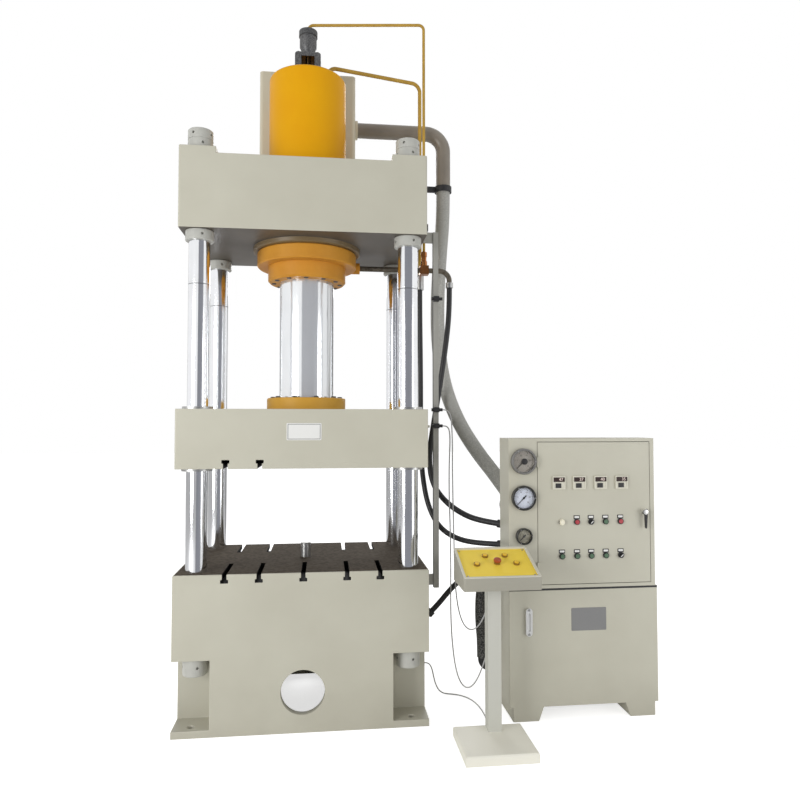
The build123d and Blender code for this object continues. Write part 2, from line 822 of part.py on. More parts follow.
# Fill pipe: out of the tank, over the crown's right side and down to its hose
with BuildPart() as fill_pipe:
    bend_pipe(
        [
            (fill_right + outlet_flange_thickness, fill_middle, outlet_z),
            (fill_pipe_reach, fill_middle, outlet_z),
            (fill_pipe_reach, fill_middle, fill_pipe_end),
        ],
        fill_pipe_diameter,
        fill_pipe_bend,
    )
save(fill_pipe, "fill_pipe")

# Oil pipes: pilot line to the valve, pressure line to the head, return line, ejector line
return_z = port_z
tee_half = tee_size / 2
pressure_top = barrel_top + pressure_rise
ejector_elbow_x, ejector_elbow_z = ejector_hose_route[0][0], ejector_hose_route[0][2]
ejector_tilt = Vector(1, 0, 1).normalized() * ferrule_length
with BuildPart() as oil_pipes:
    bend_pipe(
        [
            (0, 0, cap_top),
            (0, 0, cap_top + pilot_rise),
            (pilot_x, pilot_y, cap_top + pilot_rise),
            (pilot_x, pilot_y, jog_high),
            (tee_x, port_offset, jog_low),
            (tee_x, port_offset, return_z + tee_half),
        ],
        pilot_diameter,
        pilot_bend,
    )
    bend_pipe(
        [
            (pressure_start_x, pressure_start_y, barrel_top),
            (pressure_start_x, pressure_start_y, pressure_top),
            (pressure_x, pressure_y, pressure_top),
            (pressure_x, pressure_y, pressure_end),
        ],
        pressure_diameter,
        pressure_bend,
    )
    with BuildSketch(facing_right(port_reach, port_offset, return_z)):
        Circle(return_diameter / 2)
    extrude(amount=tee_x - tee_half - port_reach)
    bend_pipe(
        [
            (tee_x + tee_half, port_offset, return_z),
            (return_x, port_offset, return_z),
            (return_x, port_offset, return_hose_route[0][2] + ferrule_length),
        ],
        return_diameter,
        return_bend,
    )
    bend_pipe(
        [
            (ejector_port_reach, 0, ejector_port_z),
            (ejector_elbow_x - (ejector_elbow_z - ejector_port_z), 0, ejector_port_z),
            (ejector_elbow_x - ejector_tilt.X, 0, ejector_elbow_z - ejector_tilt.Z),
        ],
        ejector_pipe_diameter,
        ejector_pipe_bend,
    )
save(oil_pipes, "oil_pipes")

# Hose ends, clamps and cable glands
lid_top = tank_low + tank_height + lid_thickness
block_x = unit_left + block_left
suction_x, suction_y, suction_top = suction_hose_route[0]
suction_low = suction_hose_route[-1][2]
suction_inlet_z = suction_low - elbow_bend - elbow_stub
suction_outlet_z = suction_top + elbow_bend + elbow_stub
with BuildPart() as hose_fittings:
    disc(Plane((pressure_x, pressure_y, pressure_end)), adaptor_diameter, -adaptor_length)
    disc(Plane((return_x, port_offset, return_hose_route[0][2])), ferrule_diameter, ferrule_length)
    disc(Plane(ejector_hose_route[0], z_dir=-ejector_tilt), ferrule_diameter, ferrule_length)
    for route in (pressure_hose_route, return_hose_route, ejector_hose_route):
        end = Vector(route[-1])
        corner = end + (end - Vector(route[-2])).normalized() * elbow_run
        bend_pipe([(block_x, corner.Y, corner.Z), corner, end], ferrule_diameter, ferrule_bend)
    slab(Plane((tee_x, port_offset, return_z - tee_half)), tee_size, tee_size, tee_size)
    with BuildSketch(Plane((crown_width / 2, (pressure_y + port_offset) / 2, pipe_clamp_base))):
        with BuildLine():
            clamp_half = (pressure_y - port_offset) / 2 + pressure_diameter / 2 + pipe_clamp_edge
            clamp_reach = tee_x + pilot_diameter / 2 + pipe_clamp_edge - crown_width / 2
            Polyline(
                (0, -clamp_half),
                (clamp_reach, -clamp_half),
                (clamp_reach, clamp_half),
                (0, clamp_half),
                close=True,
            )
        make_face()
    extrude(amount=pipe_clamp_height)
    for x, y, diameter in ((pressure_x, pressure_y, pressure_diameter), (tee_x, port_offset, pilot_diameter)):
        with BuildSketch(Plane((x, y, pipe_clamp_base))):
            Circle(diameter / 2 + seat_gap)
        extrude(amount=pipe_clamp_height, mode=Mode.SUBTRACT)
    disc(Plane((fill_pipe_reach, fill_middle, fill_pipe_end)), hose_clamp_diameter, -hose_clamp_length)
    arm_reach = fill_pipe_reach - crown_width / 2
    arm_low = fill_pipe_end - hose_clamp_length
    strap_low = crown_top - bracket_height
    strap_foot = Plane((crown_width / 2 + hose_clamp_arm / 2, fill_middle, strap_low))
    arm_foot = Plane((crown_width / 2 + arm_reach / 2, fill_middle, arm_low))
    slab(arm_foot, arm_reach, hose_clamp_arm, hose_clamp_length)
    slab(strap_foot, hose_clamp_arm, bracket_height, fill_pipe_end - strap_low)
    return_stub = Plane((fill_hose_route[-1][0], fill_hose_route[-1][1], lid_top))
    disc(return_stub, return_flange, return_flange_thickness)
    disc(return_stub, hose_clamp_diameter, return_stub_height)
    bend_pipe(
        [
            (block_x, suction_y, suction_outlet_z),
            (suction_x, suction_y, suction_outlet_z),
            (suction_x, suction_y, suction_top),
        ],
        elbow_diameter,
        elbow_bend,
    )
    bend_pipe(
        [
            (unit_left, suction_y, suction_inlet_z),
            (suction_x, suction_y, suction_inlet_z),
            (suction_x, suction_y, suction_low),
        ],
        elbow_diameter,
        elbow_bend,
    )
    for route in (low_cable_route, high_cable_route):
        disc(facing_right(*route[-1]), gland_nut_diameter, unit_left - route[-1][0])
    bed_exit, post_exit = console_cable_route[0], console_cable_route[-1]
    disc(facing_right(*bed_exit), gland_nut_diameter, bed_width / 2 - bed_exit[0])
    disc(facing_front(*post_exit), gland_nut_diameter, post_exit[1] - post_y - post_size / 2)
save(hose_fittings, "hose_fittings")

cord("fill_hose", fill_hose_route, fill_hose_diameter)
cord("pressure_hose", pressure_hose_route, pressure_hose_diameter)
cord("return_hose", return_hose_route, return_hose_diameter)
cord("ejector_hose", ejector_hose_route, ejector_hose_diameter)
cord("suction_hose", suction_hose_route, suction_hose_diameter)
cord("low_switch_cable", low_cable_route, cable_diameter)
cord("high_switch_cable", high_cable_route, cable_diameter)
cord("console_cable", console_cable_route, cable_diameter)

# Stroke bar: a square bar beside the slide, on a bracket at the crown and one at the bed
with BuildPart() as stroke_bar:
    slab(Plane((bar_x, 0, bar_low)), bar_size, bar_size, bar_high - bar_low)
    for side, low in ((bed_width / 2, bracket_low), (crown_width / 2, bar_high - bracket_height)):
        reach = bar_x - bar_size / 2 - side
        with BuildSketch(Plane((side + reach / 2, 0, low))):
            Rectangle(reach, bracket_thickness)
        extrude(amount=bracket_height)
save(stroke_bar, "stroke_bar")

# Limit switches: round sensors in clamp blocks on the bar's front
with BuildPart() as limit_switches:
    switch_y = -(bar_size + switch_block) / 2
    for height in switch_heights:
        slab(Plane((bar_x, switch_y, height - switch_block / 2)), bar_size, switch_block, switch_block)
        switch_tip = facing_right(bar_x - bar_size / 2 - switch_overhang, switch_y, height)
        disc(switch_tip, switch_diameter, switch_length)
save(limit_switches, "limit_switches")

# Oil tank: open-topped welded tank on two trapezoid feet
unit_middle = unit_left + unit_width / 2
tank_middle = unit_front + tank_depth / 2
with BuildPart() as oil_tank:
    slab(Plane((unit_middle, tank_middle, tank_low)), unit_width, tank_depth, tank_height)
    with BuildSketch(Plane((unit_middle, tank_middle, tank_low + tank_wall))):
        Rectangle(unit_width - 2 * tank_wall, tank_depth - 2 * tank_wall)
    extrude(amount=tank_height - tank_wall, mode=Mode.SUBTRACT)
    for side in (-1, 1):
        outer = side * (unit_width / 2 - tank_foot_inset)
        inner = outer - side * tank_foot_width
        with BuildSketch(facing_front(unit_middle, unit_front, 0)):
            with BuildLine():
                Polyline(
                    (outer, tank_low),
                    (inner, tank_low),
                    (inner + side * tank_foot_taper, 0),
                    (outer, 0),
                    close=True,
                )
            make_face()
        extrude(amount=-tank_depth)
save(oil_tank, "oil_tank")

with BuildPart() as tank_lid:
    slab(Plane((unit_middle, tank_middle, tank_low + tank_height)), unit_width, tank_depth, lid_thickness)
save(tank_lid, "tank_lid")

# Oil level gauge on the tank's front
level_z = tank_low + level_rise
with BuildPart() as level_gauge:
    with BuildSketch(facing_front(unit_left + level_x, unit_front, level_z)):
        SlotOverall(level_height, level_width, rotation=90)
    extrude(amount=level_thickness)
    with BuildSketch(facing_front(unit_left + level_x, unit_front - level_thickness, level_z)):
        SlotOverall(level_slot_length, level_slot, rotation=90)
    extrude(amount=-level_slot_depth, mode=Mode.SUBTRACT)
save(level_gauge, "level_gauge")

# Electric box: sheet shell with a door opening, gauge holes in the strip at its left
box_low = lid_top
box_back = unit_front + box_depth
strip_x = unit_left + gauge_x
door_x = unit_left + door_left
door_z = box_low + door_low
door_front = facing_front(door_x + door_width / 2, unit_front, door_z + door_height / 2)
hinge_x = door_x - door_gap - seat_gap
hinge_y = unit_front - hinge_diameter / 2
hinge_heights = [door_z + share * door_height for share in hinge_shares]
gauges = [(box_low + share * box_height, size) for share, size in zip(gauge_shares, gauge_diameters)]
with BuildPart() as electric_box:
    box_floor = Plane((unit_left + box_width / 2, unit_front + box_depth / 2, box_low))
    slab(box_floor, box_width, box_depth, box_height)
    with BuildSketch(box_floor.offset(box_wall)):
        Rectangle(box_width - 2 * box_wall, box_depth - 2 * box_wall)
    extrude(amount=box_height - 2 * box_wall, mode=Mode.SUBTRACT)
    with BuildSketch(door_front):
        Rectangle(door_width + 2 * door_gap, door_height + 2 * door_gap)
    extrude(amount=-box_wall, mode=Mode.SUBTRACT)
    for height, size in gauges:
        with BuildSketch(facing_front(strip_x, unit_front, height)):
            Circle(size * gauge_body_share / 2 + seat_gap)
        extrude(amount=-box_wall, mode=Mode.SUBTRACT)
    for height in hinge_heights:
        with BuildSketch(Plane((hinge_x, hinge_y, height - hinge_length))):
            Circle(hinge_diameter / 2)
            with Locations((-fixed_leaf / 2, hinge_diameter / 2 - hinge_leaf_thickness / 2)):
                Rectangle(fixed_leaf, hinge_leaf_thickness)
        extrude(amount=hinge_length - seat_gap)
save(electric_box, "electric_box")

# Door: a folded pan with its halves of the two hinges
with BuildPart() as door:
    with BuildSketch(door_front):
        Rectangle(door_width, door_height)
    extrude(amount=-door_thickness)
    with BuildSketch(door_front.offset(-door_wall)):
        Rectangle(door_width - 2 * door_wall, door_height - 2 * door_wall)
    extrude(amount=-door_thickness, mode=Mode.SUBTRACT)
    for height in hinge_heights:
        with BuildSketch(Plane((hinge_x, hinge_y, height))):
            Circle(hinge_diameter / 2)
            with Locations((hinge_leaf / 2, hinge_diameter / 2 - hinge_leaf_thickness / 2)):
                Rectangle(hinge_leaf, hinge_leaf_thickness)
        extrude(amount=hinge_length)
save(door, "door")

# What is fixed in the door: four digital meters, the bezels of the controls and the lamp
upper_z = door_z + upper_row_share * door_height
lower_z = door_z + lower_row_share * door_height
meter_z = door_z + meter_height_share * door_height
control_xs = [door_x + share * door_width for share in button_shares]
with BuildPart() as door_instruments:
    for share in meter_shares:
        with BuildSketch(facing_front(door_x + share * door_width, unit_front, meter_z)):
            Rectangle(meter_size, meter_size)
        extrude(amount=meter_proud)
        with BuildSketch(facing_front(door_x + share * door_width, unit_front - meter_proud, meter_z)):
            Rectangle(meter_size - 2 * meter_rim, meter_size - 2 * meter_rim)
        extrude(amount=-meter_recess, mode=Mode.SUBTRACT)
    for x in control_xs:
        for z in (upper_z, lower_z):
            with BuildSketch(facing_front(x, unit_front, z)):
                Circle(bezel_diameter / 2)
                Circle(cap_bore / 2, mode=Mode.SUBTRACT)
            extrude(amount=bezel_height)
    disc(facing_front(control_xs[0], unit_front, upper_z), cap_bore, bezel_height + lamp_height)
save(door_instruments, "door_instruments")


def push_button(name, plane):
    """A flat button that slides in its bezel."""
    with BuildPart() as button:
        disc(plane.offset(button_lift), button_diameter, button_height)
        chamfer(button.faces().sort_by(Axis(plane.origin, plane.z_dir))[-1].edges(), button_edge)
    save(button, name)


def mushroom_button(name, plane):
    """A mushroom-headed stop button whose stem slides in its bezel."""
    with BuildPart() as button:
        disc(plane.offset(button_lift), button_diameter, bezel_height + mushroom_gap - button_lift)
        disc(plane.offset(bezel_height + mushroom_gap), mushroom_diameter, mushroom_height)
        fillet(button.faces().sort_by(Axis(plane.origin, plane.z_dir))[-1].edges(), mushroom_height / 2)
    save(button, name)


def selector(name, plane):
    """A turning selector: a round base in the bezel with a raised lever across it."""
    with BuildPart() as knob:
        disc(plane.offset(button_lift), button_diameter, bezel_height - button_lift)
        with BuildSketch(plane.offset(bezel_height)):
            SlotOverall(lever_length, lever_width, rotation=lever_turn)
        extrude(amount=lever_height)
    save(knob, name)


# Controls on the door, left to right: stop, selector, start and stop above, four buttons below
push_button("red_button_left", facing_front(control_xs[1], unit_front, upper_z))
selector("mode_selector", facing_front(control_xs[2], unit_front, upper_z))
push_button("green_button_upper", facing_front(control_xs[3], unit_front, upper_z))
push_button("red_button_right", facing_front(control_xs[4], unit_front, upper_z))
for index, name in enumerate(("first", "second", "third", "fourth")):
    push_button(f"green_button_{name}", facing_front(control_xs[index], unit_front, lower_z))
selector("pressure_selector", facing_front(control_xs[4], unit_front, lower_z))

# Door handle: a round lock boss with a lever that hangs from it
handle_x = door_x + handle_share * door_width
handle_z = door_z + handle_height_share * door_height
with BuildPart() as door_handle:
    disc(facing_front(handle_x, unit_front - seat_gap, handle_z), handle_diameter, handle_proud)
    lever = facing_front(handle_x, unit_front - seat_gap - handle_proud, handle_z - handle_length / 2)
    with BuildSketch(lever):
        with Locations((0, handle_width / 2)):
            SlotOverall(handle_length + handle_width, handle_width, rotation=90)
    extrude(amount=handle_thickness)
save(door_handle, "door_handle")

# Pressure gauges: flanged cases with a sunk dial, a lens and a needle on a spindle
with BuildPart() as gauge_cases:
    front = unit_front - gauge_proud
    spindle_height = (gauge_recess - lens_inset - lens_thickness) / 3
    for height, size in gauges:
        disc(facing_front(strip_x, unit_front, height), size, gauge_proud)
    chamfer(gauge_cases.edges().filter_by(GeomType.CIRCLE).group_by(Axis.Y)[0], gauge_edge)
    for height, size in gauges:
        gauge_back = facing_front(strip_x, unit_front + gauge_body_depth, height)
        disc(gauge_back, size * gauge_body_share, gauge_body_depth)
        with BuildSketch(facing_front(strip_x, front, height)):
            Circle(size / 2 - gauge_rim_share * size)
        extrude(amount=-gauge_recess, mode=Mode.SUBTRACT)
        disc(facing_front(strip_x, front + gauge_recess, height), spindle_diameter, spindle_height)
save(gauge_cases, "gauge_cases")

with BuildPart() as gauge_lenses:
    lens_y = unit_front - gauge_proud + lens_inset + lens_thickness
    for height, size in gauges:
        lens_diameter = size - 2 * gauge_rim_share * size - 2 * seat_gap
        disc(facing_front(strip_x, lens_y, height), lens_diameter, lens_thickness)
save(gauge_lenses, "gauge_lenses")

for name, (height, size) in zip(("top", "middle", "bottom"), gauges):
    dial_y = unit_front - gauge_proud + gauge_recess - spindle_height - seat_gap
    with BuildPart() as needle:
        with BuildSketch(facing_front(strip_x, dial_y, height)):
            Circle(needle_hub / 2)
            with BuildLine():
                turn = radians(needle_start)
                along = Vector(cos(turn), sin(turn))
                across = Vector(-sin(turn), cos(turn))
                tip = along * (size * needle_length_share)
                tail = along * (-size * needle_tail_share)
                Polyline(
                    tail + across * (needle_root / 2),
                    tip + across * (needle_tip / 2),
                    tip - across * (needle_tip / 2),
                    tail - across * (needle_root / 2),
                    close=True,
                )
            make_face()
        extrude(amount=needle_thickness)
    save(needle, f"{name}_gauge_needle")

# Switchgear: mounting plate with rows of terminals, contactors and breakers
plate_x = door_x + door_width / 2
plate_width = door_width - 2 * plate_inset
plate_height = door_height - 2 * plate_inset
plate_z = door_z + plate_inset
plate_y = box_back - box_wall
with BuildPart() as switchgear:
    with BuildSketch(facing_front(plate_x, plate_y, plate_z + plate_height / 2)):
        Rectangle(plate_width, plate_height)
    extrude(amount=plate_thickness)
    for row, count, tall in zip(gear_rows_share, gear_counts, gear_height_share):
        wide = (plate_width - 2 * duct_width) / count
        with BuildSketch(facing_front(plate_x, plate_y - plate_thickness, plate_z + row * plate_height)):
            with GridLocations(wide, 0, count, 1):
                Rectangle(wide - gear_gap, tall * plate_height)
        extrude(amount=gear_depth * (1 - tall))
save(switchgear, "switchgear")

# Motor: finned frame with feet, fan cowl and terminal box
motor_x = unit_left + motor_left
motor_middle = motor_x + motor_length / 2
shaft_z = lid_top + shaft_height
with BuildPart() as motor:
    disc(facing_right(motor_x, shaft_y, shaft_z), motor_diameter, motor_length)
    with BuildSketch(facing_right(motor_x + motor_fin_depth, shaft_y, shaft_z)):
        with PolarLocations(motor_diameter / 2, motor_fins):
            Rectangle(2 * motor_fin_depth, motor_fin_width)
    extrude(amount=motor_length - cowl_length - 2 * motor_fin_depth, mode=Mode.SUBTRACT)
    with BuildSketch(Plane((motor_middle, shaft_y, lid_top))):
        Rectangle(motor_foot_length, motor_foot_width)
    extrude(amount=motor_foot_thickness)
    for edge in (-1, 1):
        foot_y = shaft_y + edge * (motor_foot_width / 2 - motor_foot_thickness)
        slab(Plane((motor_middle, foot_y, lid_top)), motor_foot_length, motor_foot_thickness, shaft_height)
    terminal_z = shaft_z + motor_diameter / 2 - 2 * motor_fin_depth
    slab(Plane((motor_middle, shaft_y, terminal_z)), terminal_size, terminal_size, terminal_height)
save(motor, "motor")

# Pump on its bell housing, bolted to the motor's face
with BuildPart() as pump:
    with BuildSketch(Plane((motor_x, shaft_y, shaft_z), x_dir=(0, 0, 1), z_dir=(0, -1, 0))):
        with BuildLine():
            Polyline(
                (0, 0),
                (bell_diameter / 2, 0),
                (bell_diameter / 2, pump_flange_length),
                (pump_diameter / 2, bell_length),
                (pump_diameter / 2 + pump_flange_length, bell_length),
                (pump_diameter / 2 + pump_flange_length, bell_length + pump_flange_length),
                (pump_diameter / 2, bell_length + pump_flange_length),
                (pump_diameter / 2, bell_length + pump_length),
                (0, bell_length + pump_length),
                close=True,
            )
        make_face()
    revolve(axis=Axis((motor_x, shaft_y, shaft_z), (1, 0, 0)))
save(pump, "pump")

# Valve block on the lid with two solenoid valves on top
block_y = box_back + block_front + block_depth / 2
block_middle = block_x + block_width / 2
with BuildPart() as valve_block:
    slab(Plane((block_middle, block_y, lid_top)), block_width, block_depth, block_height)
    chamfer(valve_block.edges().filter_by(Axis.Z), block_edge)
    for index in range(block_valves):
        valve_y = block_y + (index - (block_valves - 1) / 2) * block_depth / block_valves
        valve_seat = Plane((block_middle, valve_y, lid_top + block_height))
        slab(valve_seat, valve_body, valve_body, valve_body_height)
        coil = facing_right(block_middle, valve_y, lid_top + block_height + valve_body_height / 2)
        disc(coil, solenoid_diameter, valve_body / 2 + solenoid_length)
        disc(coil, solenoid_diameter, -valve_body / 2 - solenoid_length)
save(valve_block, "valve_block")

# Console stand: base plate and square post
with BuildPart() as console_stand:
    slab(Plane((base_x, base_y, 0)), base_width, base_depth, base_thickness)
    chamfer(console_stand.faces().sort_by(Axis.Z)[-1].edges(), base_edge)
    slab(Plane((post_x, post_y, base_thickness)), post_size, post_size, console_low - base_thickness)
save(console_stand, "console_stand")

# Console box: a wedge with a recess for its panel under a raised rim
console_rise = console_back_height - console_front_height
console_run = console_back - console_front
console_slope = (console_rise**2 + console_run**2) ** 0.5
slope_middle = (
    console_x,
    (console_front + console_back) / 2,
    console_low + (console_front_height + console_back_height) / 2,
)
slope_normal = (0, -console_rise / console_slope, console_run / console_slope)
slope = Plane(slope_middle, x_dir=(1, 0, 0), z_dir=slope_normal)
panel_width = console_width - 2 * console_rim
panel_depth = console_slope - 2 * console_rim
with BuildPart() as console_box:
    with BuildSketch(facing_right(console_x - console_width / 2, 0, console_low)):
        with BuildLine():
            Polyline(
                (console_front, 0),
                (console_back, 0),
                (console_back, console_back_height),
                (console_front, console_front_height),
                close=True,
            )
        make_face()
    extrude(amount=console_width)
    fillet(console_box.edges().filter_by(Axis.Z), console_round)
    with BuildSketch(slope):
        Rectangle(panel_width, panel_depth)
    extrude(amount=-console_recess, mode=Mode.SUBTRACT)
save(console_box, "console_box")

# Console panel with the bezels of its buttons
panel_face = slope.offset(panel_thickness - console_recess)
panel_places = [
    panel_face.from_local_coords(Vector(u * panel_width, v * panel_depth, 0))
    for u, v in console_button_shares
]
with BuildPart() as console_panel:
    with BuildSketch(slope.offset(-console_recess)):
        Rectangle(panel_width - 2 * seat_gap, panel_depth - 2 * seat_gap)
    extrude(amount=panel_thickness)
    for place in panel_places:
        with BuildSketch(Plane(place, x_dir=slope.x_dir, z_dir=slope.z_dir)):
            Circle(bezel_diameter / 2)
            Circle(cap_bore / 2, mode=Mode.SUBTRACT)
        extrude(amount=bezel_height)
save(console_panel, "console_panel")

console_names = ("console_button_rear_left", "console_button_rear_right", "console_stop",
                 "console_button_left", "console_button_right")
for name, place in zip(console_names, panel_places):
    seat = Plane(place, x_dir=slope.x_dir, z_dir=slope.z_dir)
    if name == "console_stop":
        mushroom_button(name, seat)
    else:
        push_button(name, seat)
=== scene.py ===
# %% [markdown]
# # A four-column hydraulic press
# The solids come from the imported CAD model. This lesson dresses them: hoses and cables,
# paint, bright steel, dials, screws and small plates, then a camera and studio light.
# Everything is in metres: +X to the power unit, -Y to the worker, +Z up.

# %% Load the frame
import json
from math import cos, pi, radians, sin, tau

import bmesh
import bpy
from mathutils import Euler, Matrix, Vector

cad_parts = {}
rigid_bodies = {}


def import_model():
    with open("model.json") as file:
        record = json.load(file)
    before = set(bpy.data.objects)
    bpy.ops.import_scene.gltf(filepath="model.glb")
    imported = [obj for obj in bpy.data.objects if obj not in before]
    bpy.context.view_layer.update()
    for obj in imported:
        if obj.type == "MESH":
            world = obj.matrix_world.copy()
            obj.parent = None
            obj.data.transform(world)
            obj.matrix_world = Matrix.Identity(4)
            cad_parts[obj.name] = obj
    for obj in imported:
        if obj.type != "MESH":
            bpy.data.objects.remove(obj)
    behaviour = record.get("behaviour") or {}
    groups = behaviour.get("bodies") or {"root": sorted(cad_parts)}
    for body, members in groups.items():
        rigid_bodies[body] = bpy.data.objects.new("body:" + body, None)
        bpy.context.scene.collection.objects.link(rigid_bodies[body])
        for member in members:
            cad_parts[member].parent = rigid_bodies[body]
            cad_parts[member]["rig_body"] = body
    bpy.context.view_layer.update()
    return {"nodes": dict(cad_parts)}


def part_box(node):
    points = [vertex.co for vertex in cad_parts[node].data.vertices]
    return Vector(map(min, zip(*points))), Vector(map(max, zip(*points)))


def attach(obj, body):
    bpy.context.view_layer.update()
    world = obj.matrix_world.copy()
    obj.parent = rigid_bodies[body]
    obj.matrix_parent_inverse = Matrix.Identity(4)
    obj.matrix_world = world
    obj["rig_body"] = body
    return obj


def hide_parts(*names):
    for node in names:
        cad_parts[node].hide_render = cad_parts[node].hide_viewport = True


for leftover in list(bpy.data.objects):
    bpy.data.objects.remove(leftover)
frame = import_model()
nodes = frame["nodes"]
scene = bpy.context.scene

# %% [markdown]
# ## Camera
# The photograph was taken from standing height, a little left of the power unit, with a wide lens.
# Matching lens, place and turn first lets every later piece be judged against the photograph.

# %% Camera
LENS = 29.43
SENSOR = 36.0
CAMERA_PLACE = (0.1015, -3.6737, 1.5089)
CAMERA_TURN = (radians(92.02), 0, radians(-6.56))
camera_data = bpy.data.cameras.new("camera")
camera_data.lens = LENS
camera_data.sensor_width = SENSOR
camera = bpy.data.objects.new("camera", camera_data)
scene.collection.objects.link(camera)
camera.location = CAMERA_PLACE
camera.rotation_euler = Euler(CAMERA_TURN)
scene.camera = camera
print("camera at", tuple(round(v, 3) for v in camera.location))

# %% [markdown]
# ## Light, floor and white backdrop
# A catalogue picture has soft light from all round and a white ground. The world is white to the
# eye and to reflections but gives less light than it shows, so colours keep their depth.
# Dark cards out of view give the bright steel something to reflect, as a studio would.

# %% World
SKY_LIGHT = 0.50
world = bpy.data.worlds.new("studio")
scene.world = world
world.use_nodes = True
sky = world.node_tree.nodes
sky_links = world.node_tree.links
sky.clear()
ray = sky.new("ShaderNodeLightPath")
seen = sky.new("ShaderNodeMath")
seen.operation = "ADD"
shown = sky.new("ShaderNodeMath")
shown.operation = "ADD"
shown.use_clamp = True
level = sky.new("ShaderNodeMapRange")
level.inputs["To Min"].default_value = SKY_LIGHT
level.inputs["To Max"].default_value = 1.0
backdrop = sky.new("ShaderNodeBackground")
backdrop.inputs["Color"].default_value = (1, 1, 1, 1)
sky_out = sky.new("ShaderNodeOutputWorld")
sky_links.new(ray.outputs["Is Camera Ray"], seen.inputs[0])
sky_links.new(ray.outputs["Is Glossy Ray"], seen.inputs[1])
sky_links.new(seen.outputs[0], shown.inputs[0])
sky_links.new(ray.outputs["Is Transmission Ray"], shown.inputs[1])
sky_links.new(shown.outputs[0], level.inputs["Value"])
sky_links.new(level.outputs["Result"], backdrop.inputs["Strength"])
sky_links.new(backdrop.outputs[0], sky_out.inputs["Surface"])
print("sky light", SKY_LIGHT)


# %% Lamps
def soft_lamp(name, place, aim, size, watts):
    """A square lamp that looks from place to aim."""
    lamp = bpy.data.lights.new(name, "AREA")
    lamp.shape = "SQUARE"
    lamp.size = size
    lamp.energy = watts
    carrier = bpy.data.objects.new(name, lamp)
    carrier.location = place
    carrier.rotation_euler = (Vector(aim) - Vector(place)).to_track_quat("-Z", "Y").to_euler()
    scene.collection.objects.link(carrier)


PRESS_MIDDLE = (0.4, 0, 1.6)
LAMPS = [  # name, place, side, watts
    ("key_lamp", (-4.3, -4.2, 1.7), 2.6, 170),
    ("fill_lamp", (4.8, -4.2, 1.5), 3.0, 80),
    ("back_lamp", (0.6, 4.8, 4.6), 3.0, 110),
]
for name, place, size, watts in LAMPS:
    soft_lamp(name, place, PRESS_MIDDLE, size, watts)
print("lamps", len(bpy.data.lights))


# %% Dark cards
CARD_TINT = (1.0, 1.02, 1.12)


def dark_card(name, place, width, height, turn, shade):
    """An upright card that only reflections see, of an even tone."""
    mesh = bpy.data.meshes.new(name)
    x, z = width / 2, height / 2
    mesh.from_pydata([(-x, 0, -z), (x, 0, -z), (x, 0, z), (-x, 0, z)], [], [(0, 1, 2, 3)])
    tone = bpy.data.materials.new(name)
    tone.use_nodes = True
    tree = tone.node_tree
    even = tree.nodes.new("ShaderNodeEmission")
    even.inputs["Color"].default_value = (*(shade * tint for tint in CARD_TINT), 1)
    tree.links.new(even.outputs[0], tree.nodes["Material Output"].inputs["Surface"])
    mesh.materials.append(tone)
    card = bpy.data.objects.new(name, mesh)
    card.location = place
    card.rotation_euler = (0, 0, turn)
    scene.collection.objects.link(card)
    card.visible_camera = False
    card.visible_diffuse = False
    card.visible_shadow = False
    card.visible_transmission = False


CARDS = [  # name, place, width, height, turn in degrees, shade
    ("front_card", (1.35, -2.2, 2.0), 3.96, 5.0, -20.7, 0.27),
    ("right_card", (2.9, 4.1, 2.0), 1.2, 8.0, -35, 0.05),
    ("left_card", (-2.9, 4.1, 2.0), 0.8, 8.0, 35, 0.05),
]
for name, place, width, height, turn, shade in CARDS:
    dark_card(name, place, width, height, radians(turn), shade)
print("cards out of view", len(CARDS))

# %% [markdown]
# ## Shared effects
# Real paint is never one flat colour: it has clouds of slightly darker tone, a fine orange peel and
# dust near the floor. Turned steel carries rings from the lathe. Each effect is one node group
# that gives colours, masks and heights, and every finish places it with its own values.


# %% Node group helpers
def new_group(name, inputs, outputs):
    """An empty shader group with named sockets; gives the group, its nodes and its two ends."""
    group = bpy.data.node_groups.new(name, "ShaderNodeTree")
    for label, kind, value in inputs:
        socket = group.interface.new_socket(label, in_out="INPUT", socket_type=kind)
        socket.default_value = value
    for label, kind in outputs:
        group.interface.new_socket(label, in_out="OUTPUT", socket_type=kind)
    start = group.nodes.new("NodeGroupInput")
    end = group.nodes.new("NodeGroupOutput")
    return group, group.nodes, group.links, start, end


def blend_node(tree_nodes, tree_links, factor, low, high):
    """A colour mix whose two ends are sockets or fixed colours; gives its result."""
    mix = tree_nodes.new("ShaderNodeMix")
    mix.data_type = "RGBA"
    for value, socket in ((factor, mix.inputs[0]), (low, mix.inputs[6]), (high, mix.inputs[7])):
        if isinstance(value, bpy.types.NodeSocket):
            tree_links.new(value, socket)
        else:
            socket.default_value = value
    return mix.outputs[2]


FLOAT, COLOUR = "NodeSocketFloat", "NodeSocketColor"

# %% Clouded paint with dust near the floor
clouds, n, l, start, end = new_group(
    "clouded_paint",
    [
        ("Base", COLOUR, (0.5, 0.5, 0.5, 1)),
        ("Shade", COLOUR, (0.4, 0.4, 0.4, 1)),
        ("Scale", FLOAT, 3.0),
        ("Amount", FLOAT, 0.5),
        ("Dust", FLOAT, 0.3),
        ("Dust Height", FLOAT, 0.25),
    ],
    [("Color", COLOUR), ("Rough", FLOAT), ("Peel", FLOAT)],
)
place = n.new("ShaderNodeTexCoord")
cloud = n.new("ShaderNodeTexNoise")
cloud.inputs["Detail"].default_value = 6
l.new(place.outputs["Object"], cloud.inputs["Vector"])
l.new(start.outputs["Scale"], cloud.inputs["Scale"])
cloud_range = n.new("ShaderNodeMapRange")
cloud_range.inputs["From Min"].default_value = 0.38
cloud_range.inputs["From Max"].default_value = 0.68
l.new(cloud.outputs["Fac"], cloud_range.inputs["Value"])
